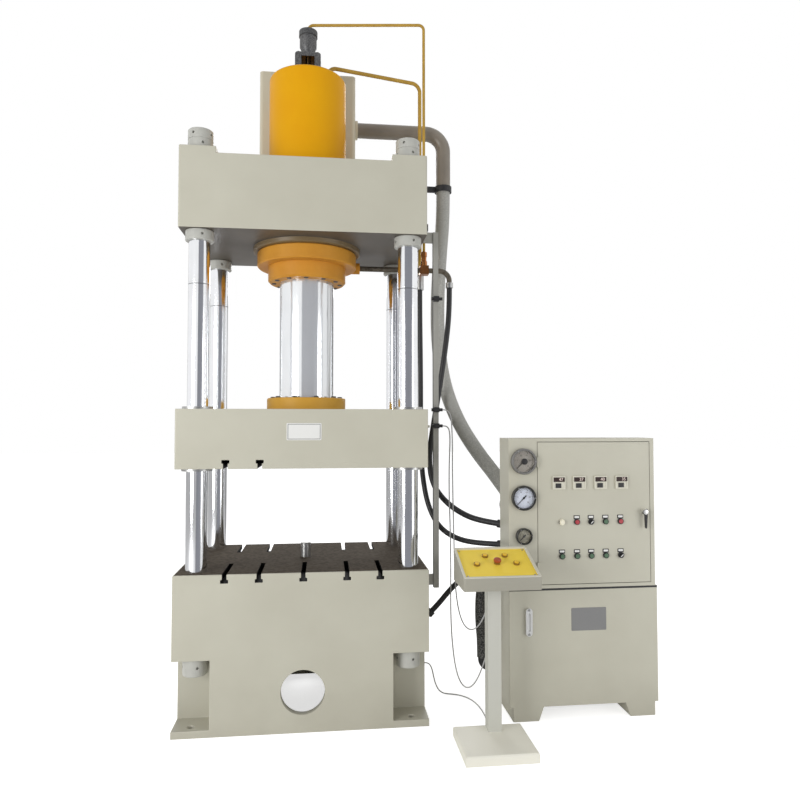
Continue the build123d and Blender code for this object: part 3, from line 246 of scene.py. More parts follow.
l.new(start.outputs["Amount"], cloud_range.inputs["To Max"])
painted = blend_node(
    n, l, cloud_range.outputs["Result"], start.outputs["Base"], start.outputs["Shade"]
)
height = n.new("ShaderNodeSeparateXYZ")
l.new(place.outputs["Object"], height.inputs[0])
low = n.new("ShaderNodeMapRange")
l.new(height.outputs["Z"], low.inputs["Value"])
l.new(start.outputs["Dust Height"], low.inputs["From Max"])
l.new(start.outputs["Dust"], low.inputs["To Min"])
low.inputs["To Max"].default_value = 0.0
patchy = n.new("ShaderNodeMath")
patchy.operation = "MULTIPLY"
l.new(low.outputs["Result"], patchy.inputs[0])
l.new(cloud.outputs["Fac"], patchy.inputs[1])
DUST_BROWN = (0.20, 0.17, 0.13, 1)
dusty = blend_node(n, l, patchy.outputs[0], painted, DUST_BROWN)
peel = n.new("ShaderNodeTexNoise")
peel.inputs["Scale"].default_value = 260
peel.inputs["Detail"].default_value = 2
l.new(place.outputs["Object"], peel.inputs["Vector"])
rough = n.new("ShaderNodeMapRange")
rough.inputs["To Min"].default_value = 0.32
rough.inputs["To Max"].default_value = 0.52
l.new(cloud.outputs["Fac"], rough.inputs["Value"])
l.new(dusty, end.inputs["Color"])
l.new(rough.outputs["Result"], end.inputs["Rough"])
l.new(peel.outputs["Fac"], end.inputs["Peel"])
print("group", clouds.name, len(n), "nodes")

# %% Lathe rings and handling marks on turned steel
lathe, n, l, start, end = new_group(
    "lathe_rings",
    [
        ("Base", COLOUR, (0.6, 0.6, 0.6, 1)),
        ("Stain", COLOUR, (0.3, 0.28, 0.25, 1)),
        ("Rings", FLOAT, 120.0),
        ("Stain Amount", FLOAT, 0.25),
        ("Rough Low", FLOAT, 0.10),
        ("Rough High", FLOAT, 0.22),
    ],
    [("Color", COLOUR), ("Rough", FLOAT), ("Height", FLOAT)],
)
place = n.new("ShaderNodeTexCoord")
ring = n.new("ShaderNodeTexWave")
ring.bands_direction = "Z"
ring.inputs["Distortion"].default_value = 0.6
ring.inputs["Detail"].default_value = 2
l.new(place.outputs["Object"], ring.inputs["Vector"])
l.new(start.outputs["Rings"], ring.inputs["Scale"])
smear = n.new("ShaderNodeTexNoise")
smear.inputs["Scale"].default_value = 9
smear.inputs["Detail"].default_value = 5
l.new(place.outputs["Object"], smear.inputs["Vector"])
smear_range = n.new("ShaderNodeMapRange")
smear_range.inputs["From Min"].default_value = 0.45
smear_range.inputs["From Max"].default_value = 0.75
l.new(smear.outputs["Fac"], smear_range.inputs["Value"])
l.new(start.outputs["Stain Amount"], smear_range.inputs["To Max"])
l.new(
    blend_node(n, l, smear_range.outputs["Result"], start.outputs["Base"], start.outputs["Stain"]),
    end.inputs["Color"],
)
rough = n.new("ShaderNodeMapRange")
l.new(smear.outputs["Fac"], rough.inputs["Value"])
l.new(start.outputs["Rough Low"], rough.inputs["To Min"])
l.new(start.outputs["Rough High"], rough.inputs["To Max"])
l.new(rough.outputs["Result"], end.inputs["Rough"])
l.new(ring.outputs["Fac"], end.inputs["Height"])
print("group", lathe.name, len(n), "nodes")

# %% Fine speckle for moulded plastic, rubber and cast metal
speckle, n, l, start, end = new_group(
    "fine_speckle",
    [
        ("Base", COLOUR, (0.02, 0.02, 0.02, 1)),
        ("Fleck", COLOUR, (0.06, 0.06, 0.06, 1)),
        ("Scale", FLOAT, 300.0),
        ("Rough Low", FLOAT, 0.4),
        ("Rough High", FLOAT, 0.6),
    ],
    [("Color", COLOUR), ("Rough", FLOAT), ("Height", FLOAT)],
)
place = n.new("ShaderNodeTexCoord")
grain = n.new("ShaderNodeTexNoise")
grain.inputs["Detail"].default_value = 3
l.new(place.outputs["Object"], grain.inputs["Vector"])
l.new(start.outputs["Scale"], grain.inputs["Scale"])
grain_range = n.new("ShaderNodeMapRange")
grain_range.inputs["From Min"].default_value = 0.42
grain_range.inputs["From Max"].default_value = 0.62
l.new(grain.outputs["Fac"], grain_range.inputs["Value"])
l.new(
    blend_node(n, l, grain_range.outputs["Result"], start.outputs["Base"], start.outputs["Fleck"]),
    end.inputs["Color"],
)
rough = n.new("ShaderNodeMapRange")
l.new(grain.outputs["Fac"], rough.inputs["Value"])
l.new(start.outputs["Rough Low"], rough.inputs["To Min"])
l.new(start.outputs["Rough High"], rough.inputs["To Max"])
l.new(rough.outputs["Result"], end.inputs["Rough"])
l.new(grain.outputs["Fac"], end.inputs["Height"])
print("group", speckle.name, len(n), "nodes")


# %% [markdown]
# ## Finishes
# One function makes each finish: a Principled shader fed by one of the groups above, with a
# bump from the group's height. Colours are written in linear light.


# %% Finish maker
def finish(name, group, values, bump=0.0, bump_socket=None, **fixed):
    """A material whose colour, roughness and bump come from a shared group."""
    material = bpy.data.materials.new(name)
    material.use_nodes = True
    tree = material.node_tree
    shader = tree.nodes["Principled BSDF"]
    effect = tree.nodes.new("ShaderNodeGroup")
    effect.node_tree = group
    for label, value in values.items():
        effect.inputs[label].default_value = value
    tree.links.new(effect.outputs["Color"], shader.inputs["Base Color"])
    tree.links.new(effect.outputs["Rough"], shader.inputs["Roughness"])
    for label, value in fixed.items():
        shader.inputs[label.replace("_", " ")].default_value = value
    if bump:
        relief = tree.nodes.new("ShaderNodeBump")
        relief.inputs["Strength"].default_value = bump
        relief.inputs["Distance"].default_value = 0.001
        tree.links.new(effect.outputs[bump_socket], relief.inputs["Height"])
        tree.links.new(relief.outputs["Normal"], shader.inputs["Normal"])
    return material


def paint(name, base, shade, bump=0.10, coat=0.10, gloss=0.35, **values):
    """Sprayed machine paint with clouds, dust and orange peel."""
    settings = {"Base": (*base, 1), "Shade": (*shade, 1), **values}
    return finish(
        name, clouds, settings, bump, "Peel",
        Coat_Weight=coat, Coat_Roughness=0.25, Specular_IOR_Level=gloss,
    )


def turned(name, base, stain, bump=0.05, **values):
    """Turned or ground metal."""
    settings = {"Base": (*base, 1), "Stain": (*stain, 1), **values}
    return finish(name, lathe, settings, bump, "Height", Metallic=1.0)


def moulded(name, base, fleck, bump=0.05, metallic=0.0, gloss=0.5, **values):
    """Moulded plastic, rubber or cast metal."""
    settings = {"Base": (*base, 1), "Fleck": (*fleck, 1), **values}
    return finish(
        name, speckle, settings, bump, "Height", Metallic=metallic, Specular_IOR_Level=gloss
    )


def polish(low, high):
    """The two ends of a finish's roughness."""
    return {"Rough Low": low, "Rough High": high}


# %% The finishes of this press
BEIGE = paint("beige_paint", (0.545, 0.530, 0.440), (0.480, 0.462, 0.376))
GREY_TANK = paint("grey_tank_paint", (0.64, 0.59, 0.46), (0.57, 0.52, 0.40))
BAR_GREY = paint("bar_grey", (0.37, 0.365, 0.335), (0.30, 0.295, 0.27))
# Painted shade: the crown's underside is painted dark to stand in for the shade under it.
BEIGE_PAINTED_SHADE = paint("beige_underside_painted_shade", (0.105, 0.090, 0.072), (0.070, 0.058, 0.046))
# Painted shade in a brown tone on the boss under the crown.
BOSS_PAINTED_SHADE = paint("boss_painted_shade", (0.170, 0.118, 0.055), (0.125, 0.085, 0.038))
YELLOW = paint(
    "cylinder_yellow", (0.80, 0.39, 0.004), (0.74, 0.31, 0.004), 0.06, 0.0, 0.12, Amount=0.5
)
ORANGE = paint(
    "flange_orange", (0.64, 0.300, 0.042), (0.50, 0.21, 0.026), 0.06, 0.0, 0.15, Amount=0.8
)
FOOT_YELLOW = paint(
    "ram_foot_yellow", (0.74, 0.42, 0.068), (0.62, 0.33, 0.05), 0.06, 0.0, 0.15, Amount=0.8
)
PIPE_YELLOW = paint(
    "pipe_yellow", (0.50, 0.31, 0.055), (0.36, 0.21, 0.03), 0.05, 0.0, 0.2, Scale=14.0
)
PIPE_GREY = paint(
    "fill_pipe_grey", (0.235, 0.205, 0.165), (0.165, 0.140, 0.110), 0.10, 0.3, 0.5, Scale=8.0
)
PANEL_YELLOW = paint("panel_yellow", (0.98, 0.74, 0.095), (0.92, 0.66, 0.07), 0.05, 0.0, 0.2)
CREAM = paint("cream_paint", (0.68, 0.66, 0.56), (0.61, 0.59, 0.49), 0.08)
PLATE_WHITE = paint("bare_white_plate", (0.80, 0.80, 0.78), (0.74, 0.74, 0.72), 0.03)
PLATE_GREY = paint("bare_grey_plate", (0.235, 0.235, 0.235), (0.20, 0.20, 0.20), 0.03)
CHROME = turned(
    "ground_chrome", (0.86, 0.87, 0.89), (0.66, 0.66, 0.66), 0.015, **polish(0.06, 0.14)
)
RAM_STEEL = finish(
    "ground_ram", lathe,
    {"Base": (0.84, 0.86, 0.88, 1), "Stain": (0.70, 0.71, 0.72, 1), **polish(0.06, 0.12)},
    0.015, "Height", Metallic=0.68,
)
STEEL = turned(
    "turned_steel", (0.48, 0.48, 0.47), (0.28, 0.26, 0.24), 0.08, **polish(0.25, 0.42)
)
TABLE = moulded(
    "machined_table", (0.108, 0.087, 0.064), (0.078, 0.062, 0.046), 0.10, gloss=0.15,
    Scale=55.0, **polish(0.75, 0.95),
)
BRONZE = turned("bronze", (0.30, 0.23, 0.14), (0.20, 0.15, 0.09), 0.08)
BRIGHT = turned(
    "bright_metal", (0.84, 0.84, 0.82), (0.68, 0.68, 0.66), 0.05, **polish(0.36, 0.50)
)
# Dark brown for the pipe runs under the crown: partly dark steel fittings, partly painted shade.
PIPE_DARK_AND_SHADE = moulded("dark_pipe_and_painted_shade", (0.085, 0.070, 0.052), (0.15, 0.13, 0.10), 0.10, 0.5, Scale=60.0)
GAUGE_GREY = moulded("gauge_case_grey", (0.20, 0.195, 0.185), (0.28, 0.275, 0.265), 0.0, 0.7)
COPPER = turned(
    "copper_adaptor", (0.42, 0.17, 0.06), (0.25, 0.10, 0.04), 0.08, **polish(0.10, 0.4)
)
IRON = moulded("dark_iron", (0.055, 0.057, 0.06), (0.11, 0.11, 0.11), 0.25, 0.4, Scale=140.0)
MOTOR_GREY = paint("motor_grey", (0.10, 0.13, 0.15), (0.08, 0.10, 0.12), 0.10)
BLACK = moulded("black_plastic", (0.012, 0.012, 0.013), (0.028, 0.028, 0.03), 0.06)
RUBBER = moulded("hose_rubber", (0.010, 0.010, 0.011), (0.030, 0.030, 0.032), 0.15, Scale=420.0)
DARK_BRAID = moulded("dark_braid", (0.012, 0.012, 0.012), (0.17, 0.17, 0.165), 0.5, Scale=150.0)
BRAID = moulded("grey_braid", (0.32, 0.32, 0.295), (0.52, 0.515, 0.48), 0.4, Scale=260.0)
CABLE = moulded("cable_sheath", (0.42, 0.42, 0.42), (0.52, 0.52, 0.52), 0.04)
CAP = polish(0.25, 0.4)
RED = moulded("red_cap", (0.42, 0.045, 0.060), (0.48, 0.06, 0.07), 0.03, **CAP)
STOP_RED = moulded("stop_red", (0.36, 0.060, 0.012), (0.42, 0.08, 0.015), 0.03, **CAP)
GREEN = moulded("green_cap", (0.075, 0.150, 0.085), (0.10, 0.18, 0.11), 0.03, **CAP)
AMBER = moulded("amber_cap", (0.84, 0.52, 0.03), (0.88, 0.58, 0.04), 0.03, **CAP)
RING_AMBER = moulded("button_ring_amber", (0.24, 0.13, 0.02), (0.30, 0.17, 0.03), 0.03, **CAP)
LAMP_WHITE = moulded("lamp_white", (0.82, 0.78, 0.62), (0.86, 0.82, 0.68), 0.03, **CAP)
DIAL = moulded("dial_white", (0.60, 0.62, 0.70), (0.54, 0.56, 0.64), 0.0)
DIAL_BROWN = moulded("dial_brown", (0.33, 0.30, 0.265), (0.28, 0.25, 0.22), 0.0)
DIAL_OLIVE = moulded("dial_olive", (0.29, 0.27, 0.21), (0.24, 0.22, 0.17), 0.0)
RIM = moulded("dark_gauge_rim", (0.055, 0.055, 0.052), (0.085, 0.085, 0.08), 0.0, 0.8, **CAP)
INK = moulded("dial_ink", (0.02, 0.02, 0.022), (0.03, 0.03, 0.03), 0.0)
GLOW = moulded("meter_digits", (0.95, 0.78, 0.70), (0.98, 0.84, 0.76), 0.0)
WINDOW = moulded("meter_window", (0.024, 0.010, 0.008), (0.035, 0.014, 0.010), 0.0, **CAP)
GLASS = bpy.data.materials.new("gauge_glass")
GLASS.use_nodes = True
clear = GLASS.node_tree.nodes["Principled BSDF"]
clear.inputs["Base Color"].default_value = (0.97, 0.98, 0.98, 1)
clear.inputs["Transmission Weight"].default_value = 1.0
clear.inputs["Roughness"].default_value = 0.02
clear.inputs["IOR"].default_value = 1.05
print("finishes", len(bpy.data.materials))

# %% [markdown]
# ## Finish on each CAD solid
# A solid of one finish keeps its CAD mesh and only changes its material. The solids with more than
# one finish, or with rounded edges, come later as copies.

# %% One finish per solid
WHOLE = {
    "columns": CHROME, "gland": ORANGE, "fill_tank": GREY_TANK, "fill_pipe": PIPE_GREY,
    "limit_switches": BLACK, "ejector_cylinder": STEEL, "ejector_rod": STEEL, "level_gauge": BRIGHT,
    "electric_box": BEIGE, "switchgear": CREAM, "door": BEIGE, "gauge_lenses": GLASS,
    "motor": MOTOR_GREY, "pump": IRON, "guide_bushes": STEEL, "ram": RAM_STEEL,
    "ram_flange": FOOT_YELLOW, "mode_selector": BLACK, "pressure_selector": BLACK,
    "red_button_left": RED, "red_button_right": RED, "green_button_upper": GREEN,
    "green_button_first": GREEN, "green_button_second": GREEN, "green_button_third": GREEN,
    "green_button_fourth": GREEN, "top_gauge_needle": INK, "middle_gauge_needle": INK,
    "bottom_gauge_needle": INK, "console_stop": STOP_RED,
    "console_button_rear_left": AMBER, "console_button_rear_right": AMBER,
    "console_button_left": AMBER, "console_button_right": AMBER,
}
for name, material in WHOLE.items():
    slots = nodes[name].data.materials
    slots.clear()
    slots.append(material)
print("plain finishes on", len(WHOLE), "solids")

# %% [markdown]
# ## Hoses and cables
# A hose hangs from its fittings in one smooth line, so each is a NURBS curve whose control
# points are the route of its solid. The bevel gives it its thickness.


# %% Cord maker
def hang(name, route, diameter, material):
    """A hose or cable along its route, with both ends in fittings of the press."""
    line = bpy.data.curves.new(name, "CURVE")
    line.dimensions = "3D"
    line.bevel_depth = diameter / 2
    line.bevel_resolution = 5
    line.resolution_u = 10
    line.use_fill_caps = True
    spline = line.splines.new("NURBS")
    spline.points.add(len(route) - 1)
    for point, (x, y, z) in zip(spline.points, route):
        point.co = (x, y, z, 1)
    spline.order_u = 3
    spline.use_endpoint_u = True
    line.materials.append(material)
    piece = bpy.data.objects.new(name + "_line", line)
    scene.collection.objects.link(piece)
    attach(piece, "frame")
    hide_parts(name)


# %% Oil hoses
hang(
    "fill_hose",
    [
        (0.832, 0.320, 2.950), (0.832, 0.320, 2.790), (0.812, 0.318, 2.560),
        (0.792, 0.302, 2.290), (0.788, 0.272, 2.010), (0.815, 0.232, 1.750),
        (0.885, 0.185, 1.535), (0.985, 0.132, 1.355), (1.105, 0.090, 1.195),
        (1.212, 0.082, 1.040), (1.266, 0.082, 0.885), (1.266, 0.082, 0.740),
    ],
    0.086, BRAID,
)
hang(
    "pressure_hose",
    [
        (0.668, 0.205, 2.310), (0.668, 0.205, 2.150), (0.671, 0.204, 1.900),
        (0.671, 0.196, 1.620), (0.668, 0.182, 1.370), (0.676, 0.150, 1.180),
        (0.702, 0.108, 1.020), (0.757, 0.042, 0.908), (0.840, -0.045, 0.860),
        (0.940, -0.120, 0.848), (1.040, -0.168, 0.850),
    ],
    0.030, RUBBER,
)
hang(
    "return_hose",
    [
        (0.832, 0.120, 2.309), (0.832, 0.120, 2.170), (0.812, 0.121, 1.980),
        (0.778, 0.122, 1.750), (0.738, 0.126, 1.510), (0.708, 0.126, 1.320),
        (0.720, 0.100, 1.165), (0.780, 0.045, 1.068), (0.858, -0.038, 1.006),
        (0.945, -0.116, 0.972), (1.040, -0.168, 0.962),
    ],
    0.032, RUBBER,
)
hang(
    "ejector_hose",
    [
        (0.705, 0, 0.455), (0.750, 0, 0.500), (0.796, -0.002, 0.556),
        (0.848, -0.022, 0.616), (0.908, -0.068, 0.668), (0.972, -0.120, 0.704),
        (1.040, -0.160, 0.724),
    ],
    0.030, RUBBER,
)
hang(
    "suction_hose",
    [
        (0.990, -0.020, 0.700), (0.990, -0.020, 0.610), (0.979, -0.021, 0.500),
        (0.979, -0.023, 0.390), (0.990, -0.020, 0.285), (0.990, -0.020, 0.195),
    ],
    0.064, DARK_BRAID,
)
print("hoses hung")

# %% Switch and console cables
hang(
    "low_switch_cable",
    [
        (0.762, -0.029, 1.493), (0.780, -0.029, 1.493), (0.796, -0.031, 1.482),
        (0.803, -0.033, 1.455), (0.804, -0.035, 1.405), (0.801, -0.036, 1.340),
        (0.798, -0.038, 1.255), (0.797, -0.040, 1.155), (0.798, -0.042, 1.052),
        (0.801, -0.045, 0.950), (0.802, -0.048, 0.848), (0.803, -0.052, 0.746),
        (0.802, -0.057, 0.645), (0.800, -0.063, 0.545), (0.799, -0.071, 0.446),
        (0.801, -0.082, 0.350), (0.806, -0.097, 0.262), (0.814, -0.116, 0.185),
        (0.827, -0.139, 0.128), (0.845, -0.165, 0.097), (0.866, -0.193, 0.094),
        (0.887, -0.222, 0.118), (0.906, -0.250, 0.164), (0.924, -0.276, 0.226),
        (0.941, -0.298, 0.300), (0.955, -0.314, 0.382), (0.965, -0.324, 0.466),
        (0.971, -0.328, 0.545), (0.974, -0.329, 0.608), (0.975, -0.330, 0.646),
        (0.977, -0.330, 0.673), (0.986, -0.330, 0.690), (1.002, -0.330, 0.700),
        (1.015, -0.330, 0.700),
    ],
    0.007, CABLE,
)
hang(
    "high_switch_cable",
    [
        (0.762, -0.029, 1.584), (0.781, -0.029, 1.584), (0.799, -0.032, 1.572),
        (0.809, -0.037, 1.545), (0.812, -0.043, 1.505), (0.814, -0.049, 1.440),
        (0.814, -0.055, 1.350), (0.812, -0.062, 1.252), (0.812, -0.069, 1.150),
        (0.812, -0.077, 1.048), (0.813, -0.086, 0.946), (0.813, -0.096, 0.845),
        (0.812, -0.108, 0.745), (0.813, -0.122, 0.650), (0.817, -0.139, 0.565),
        (0.825, -0.160, 0.495), (0.838, -0.185, 0.445), (0.856, -0.212, 0.418),
        (0.877, -0.237, 0.414), (0.899, -0.257, 0.430), (0.921, -0.271, 0.462),
        (0.940, -0.280, 0.506), (0.954, -0.285, 0.556), (0.965, -0.288, 0.607),
        (0.972, -0.289, 0.652), (0.975, -0.290, 0.686), (0.978, -0.290, 0.712),
        (0.986, -0.290, 0.730), (1.002, -0.290, 0.740), (1.015, -0.290, 0.740),
    ],
    0.007, CABLE,
)
hang(
    "console_cable",
    [
        (0.645, -0.060, 0.190), (0.662, -0.060, 0.190), (0.679, -0.059, 0.182),
        (0.691, -0.057, 0.165), (0.699, -0.055, 0.138), (0.706, -0.052, 0.104),
        (0.716, -0.048, 0.068), (0.731, -0.043, 0.036), (0.752, -0.038, 0.014),
        (0.780, -0.036, 0.005), (0.815, -0.042, 0.004), (0.850, -0.060, 0.004),
        (0.880, -0.090, 0.004), (0.902, -0.130, 0.004), (0.916, -0.178, 0.004),
        (0.924, -0.232, 0.004), (0.927, -0.290, 0.004), (0.925, -0.345, 0.005),
        (0.921, -0.392, 0.012), (0.917, -0.430, 0.030), (0.914, -0.458, 0.055),
        (0.912, -0.477, 0.078), (0.911, -0.491, 0.088), (0.911, -0.505, 0.088),
    ],
    0.007, CABLE,
)
print("cables hung")

# %% [markdown]
# ## Solids with more than one finish
# On the real press one casting can carry paint and a bare machined face; its slots are drawn near
# black, as painted shade. Such a solid is copied, its loose triangles are joined, its sharp edges
# get a small round that catches the light, and each face takes a finish by where it lies. The copy
# stands for the CAD solid. A large flat face stays flat-shaded, because smooth shading would draw
# streaks across it.

# %% Copy maker
JOIN = 1e-5
FLAT = radians(0.4)
SHARP = radians(35)
WIDE = 0.05  # square metres


def dress(node, finishes, choose, edge=0.0):
    """A copy of a CAD solid whose faces take finishes[choose(middle, normal)]."""
    source = nodes[node]
    shell = bmesh.new()
    shell.from_mesh(source.data)
    bmesh.ops.remove_doubles(shell, verts=shell.verts, dist=JOIN)
    bmesh.ops.dissolve_limit(shell, angle_limit=FLAT, verts=shell.verts, edges=shell.edges)
    for face in shell.faces:
        bent = any(e.is_manifold and FLAT < e.calc_face_angle() < SHARP for e in face.edges)
        face.smooth = bent and face.calc_area() < WIDE
    if edge:
        sharp = [e for e in shell.edges if e.is_manifold and e.calc_face_angle() > SHARP]
        rounds = bmesh.ops.bevel(
            shell, geom=sharp, offset=edge, segments=2, profile=0.5, affect="EDGES"
        )
        for face in rounds["faces"]:
            face.smooth = True
    for face in shell.faces:
        face.material_index = choose(face.calc_center_median(), face.normal)
    rounded = [face.smooth for face in shell.faces]
    mesh = bpy.data.meshes.new(node + "_dressed")
    shell.to_mesh(mesh)
    shell.free()
    if "custom_normal" in mesh.attributes:
        mesh.attributes.remove(mesh.attributes["custom_normal"])
    mesh.set_sharp_from_angle(angle=SHARP)
    mesh.polygons.foreach_set("use_smooth", rounded)
    for material in finishes:
        mesh.materials.append(material)
    piece = bpy.data.objects.new(node + "_dressed", mesh)
    scene.collection.objects.link(piece)
    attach(piece, source["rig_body"])
    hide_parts(node)
    return piece


def first(_middle, _normal):
    """Every face takes the first finish."""
    return 0


# %% Bed, slide and crown: paint, machined faces, slots and the crown's underside in painted shade
TABLE_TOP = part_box("bed")[1].z
SLIDE_FOOT = 1.284
CROWN_FOOT = 2.4725
SLOT_DEEP = 0.045
SKIN = 0.001
BED_HALF_X, BED_HALF_Y = 0.618, 0.396
SLIDE_HALF_X, SLIDE_HALF_Y = 0.615, 0.391
FACE_EDGE = 0.0025


def bed_face(middle, _normal):
    """The table is bare, its slots take painted shade, all else is painted."""
    inside = abs(middle.y) < BED_HALF_Y and abs(middle.x) < BED_HALF_X
    if inside and middle.z > TABLE_TOP - SKIN:
        return 1
    return 2 if inside and middle.z > TABLE_TOP - SLOT_DEEP - SKIN else 0


def slide_face(middle, _normal):
    """The underside is bare, its slots take painted shade, all else is painted."""
    inside = abs(middle.y) < SLIDE_HALF_Y and abs(middle.x) < SLIDE_HALF_X
    if inside and middle.z < SLIDE_FOOT + SKIN:
        return 1
    return 2 if inside and middle.z < SLIDE_FOOT + SLOT_DEEP + SKIN else 0


def crown_face(middle, normal):
    """The underside is in painted shade, and so is the boss round the cylinder, in a browner
    painted shade.
    """
    if middle.z < CROWN_FOOT:
        return 2
    return 1 if normal.z < -0.9 else 0


# Near-black finish in the slots: painted shade in the recesses.
SLOT_PAINTED_SHADE = moulded("slot_painted_shade", (0.006, 0.006, 0.006), (0.012, 0.011, 0.010), 0.0, gloss=0.05)
dress("bed", [BEIGE, TABLE, SLOT_PAINTED_SHADE], bed_face, FACE_EDGE)
dress("slide", [BEIGE, STEEL, SLOT_PAINTED_SHADE], slide_face, FACE_EDGE)
dress("crown", [BEIGE, BEIGE_PAINTED_SHADE, BOSS_PAINTED_SHADE], crown_face, FACE_EDGE)
print("bed, slide and crown dressed")

# %% Cylinder, nuts and prefill valve
BARREL_FOOT = 2.80
BARREL_TOP = 3.43
CAP_FOOT = 3.695
SEAT_RADIUS, SEAT_RISE = 0.035, 0.13
PALE_NUT = paint("pale_nut_paint", (0.50, 0.50, 0.46), (0.40, 0.40, 0.37), 0.12, Scale=22.0)


def valve_face(middle, _normal):
    """A steel body with a dark cap and a bronze seat in its window."""
    if middle.z > CAP_FOOT:
        return 1
    seat = middle.xy.length < SEAT_RADIUS and middle.z < BARREL_TOP + SEAT_RISE
    return 2 if seat else 0


def below(height):
    """A choice of the second finish under a height, of the first above it."""
    return lambda middle, _normal: 0 if middle.z > height else 1


VALVE_GREY = moulded(
    "valve_grey", (0.085, 0.085, 0.088), (0.17, 0.17, 0.17), 0.25, 0.6, Scale=160.0
)
dress("main_cylinder", [YELLOW, ORANGE], below(BARREL_FOOT))
dress("frame_nuts", [PALE_NUT], first)
dress("prefill_valve", [VALVE_GREY, IRON, BRONZE], valve_face)
print("cylinder, nuts and valve dressed")

# %% Power unit and console
UNIT_FRONT = -0.410
CONSOLE_NORMAL = Vector((0, -0.3549, 0.9349))
CONSOLE_MIDDLE = Vector((0.912, -0.6225, 0.8535))
POST_GREY = paint("post_grey_paint", (0.59, 0.590, 0.535), (0.53, 0.530, 0.475), 0.10, Dust=0.0)
BASE_PALE = paint("base_pale_paint", (0.92, 0.90, 0.80), (0.85, 0.83, 0.73), 0.10, Dust=0.0)
BOX_GREY = paint("console_grey_paint", (0.385, 0.370, 0.310), (0.34, 0.325, 0.27), 0.10)
PANEL_TOP = CONSOLE_MIDDLE - CONSOLE_NORMAL * 0.008
RIM_DEEP, RING_RISE = 0.016, 0.0015
TOP_CASE_FOOT = 1.22
SOLENOID_Z = 1.012
BASE_TOP = 0.0455
METERS_FOOT = 1.15
LAMP_X, LAMP_HALF, LAMP_FOOT = 1.3132, 0.0125, 0.95
HANDLE_X, HANDLE_Z = 1.7569, 1.0475
LOCK_DROP = 0.004
LEVER_LENGTH, LEVER_START = 0.084, 0.05
LEVER_TOP_SHARE, LEVER_TAPER_SHARE = 0.78, 0.40
CONSOLE_EDGE = 0.002


def console_face(middle, _normal):
    """A cream rim on a grey box."""
    return 0 if (middle - CONSOLE_MIDDLE).dot(CONSOLE_NORMAL) > -RIM_DEEP else 1


def panel_face(middle, _normal):
    """Dark rings stand on the yellow panel."""
    return 1 if (middle - PANEL_TOP).dot(CONSOLE_NORMAL) > RING_RISE else 0


def instrument_face(middle, _normal):
    """Cream meters, a white lamp and black rings."""
    if middle.z > METERS_FOOT:
        return 0
    return 2 if abs(middle.x - LAMP_X) < LAMP_HALF and middle.z > LAMP_FOOT else 1


dress("oil_tank", [BEIGE], first, FACE_EDGE)
dress("tank_lid", [BEIGE, INK], lambda _middle, normal: 1 if abs(normal.z) < 0.5 else 0)
dress("gauge_cases", [GAUGE_GREY, RIM], below(TOP_CASE_FOOT))
dress("console_box", [CREAM, BOX_GREY], console_face, CONSOLE_EDGE)
dress("console_stand", [POST_GREY, BASE_PALE], below(BASE_TOP), CONSOLE_EDGE)
dress("console_panel", [PANEL_YELLOW, RING_AMBER], panel_face)
dress("door_instruments", [CREAM, BLACK, LAMP_WHITE], instrument_face)
lever = dress("door_handle", [BRIGHT, BLACK], below(HANDLE_Z - LOCK_DROP))
for vertex in lever.data.vertices:
    down = min(1.0, max(0.0, (HANDLE_Z - vertex.co.z) / LEVER_LENGTH))
    slim = LEVER_TOP_SHARE - LEVER_TAPER_SHARE * down if down > LEVER_START else 1.0
    vertex.co.x = HANDLE_X + (vertex.co.x - HANDLE_X) * slim
dress("valve_block", [STEEL, BLACK], lambda middle, _normal: 1 if middle.z > SOLENOID_Z else 0)
# The bar's faces towards -X take the black ink as painted shade, because its left side lies in
# shadow.
dress("stroke_bar", [BAR_GREY, INK], lambda _middle, normal: 1 if normal.x < -0.9 else 0)
print("power unit and console dressed")


# %% Hose ends: copper tee, black clamps, steel ferrules
TEE_LOW, TEE_HIGH = Vector((0.652, -1.0, 2.38)), Vector((0.71, 0.15, 2.44))
CLAMP_FOOT, LOW_ENDS = 2.5, 1.1
DARK_PIPE_TOP = 2.445


def fitting_face(middle, _normal):
    """The tee is copper, the clamps on the crown and the ends near the floor are black."""
    if all(low < at < high for low, at, high in zip(TEE_LOW, middle, TEE_HIGH)):
        return 1
    return 2 if middle.z > CLAMP_FOOT or middle.z < LOW_ENDS else 0


dress("hose_fittings", [STEEL, COPPER, BLACK], fitting_face)
# Below DARK_PIPE_TOP the pipes are dark brown: partly dark steel fittings, partly painted shade
# under the crown.
dress("oil_pipes", [PIPE_YELLOW, PIPE_DARK_AND_SHADE], below(DARK_PIPE_TOP))
print("hose ends dressed")

# %% [markdown]
# ## Fasteners
# Bolts and screws repeat by a rule, so Geometry Nodes place them: a ring for round flanges and a
# grid for plates. Each tree ends in Realize Instances and Set Material and becomes a plain mesh.


# %% Trees for rings and grids of heads
def new_tree(name, inputs):
    """An empty geometry tree with named inputs and one geometry output."""
    tree = bpy.data.node_groups.new(name, "GeometryNodeTree")
    tree.is_modifier = True
    for label, kind in inputs:
        tree.interface.new_socket(label, in_out="INPUT", socket_type=kind)
    tree.interface.new_socket("Geometry", in_out="OUTPUT", socket_type="NodeSocketGeometry")
    return tree, tree.nodes.new("NodeGroupInput"), tree.nodes.new("NodeGroupOutput")


def end_tree(tree, start, end, instances):
    """Realize the instances, give them their finish and put them out."""
    real = tree.nodes.new("GeometryNodeRealizeInstances")
    coat = tree.nodes.new("GeometryNodeSetMaterial")
    tree.links.new(instances, real.inputs["Geometry"])
    tree.links.new(real.outputs["Geometry"], coat.inputs["Geometry"])
    tree.links.new(start.outputs["Finish"], coat.inputs["Material"])
    tree.links.new(coat.outputs["Geometry"], end.inputs["Geometry"])


HEAD_TAPER_SHARE = 0.86


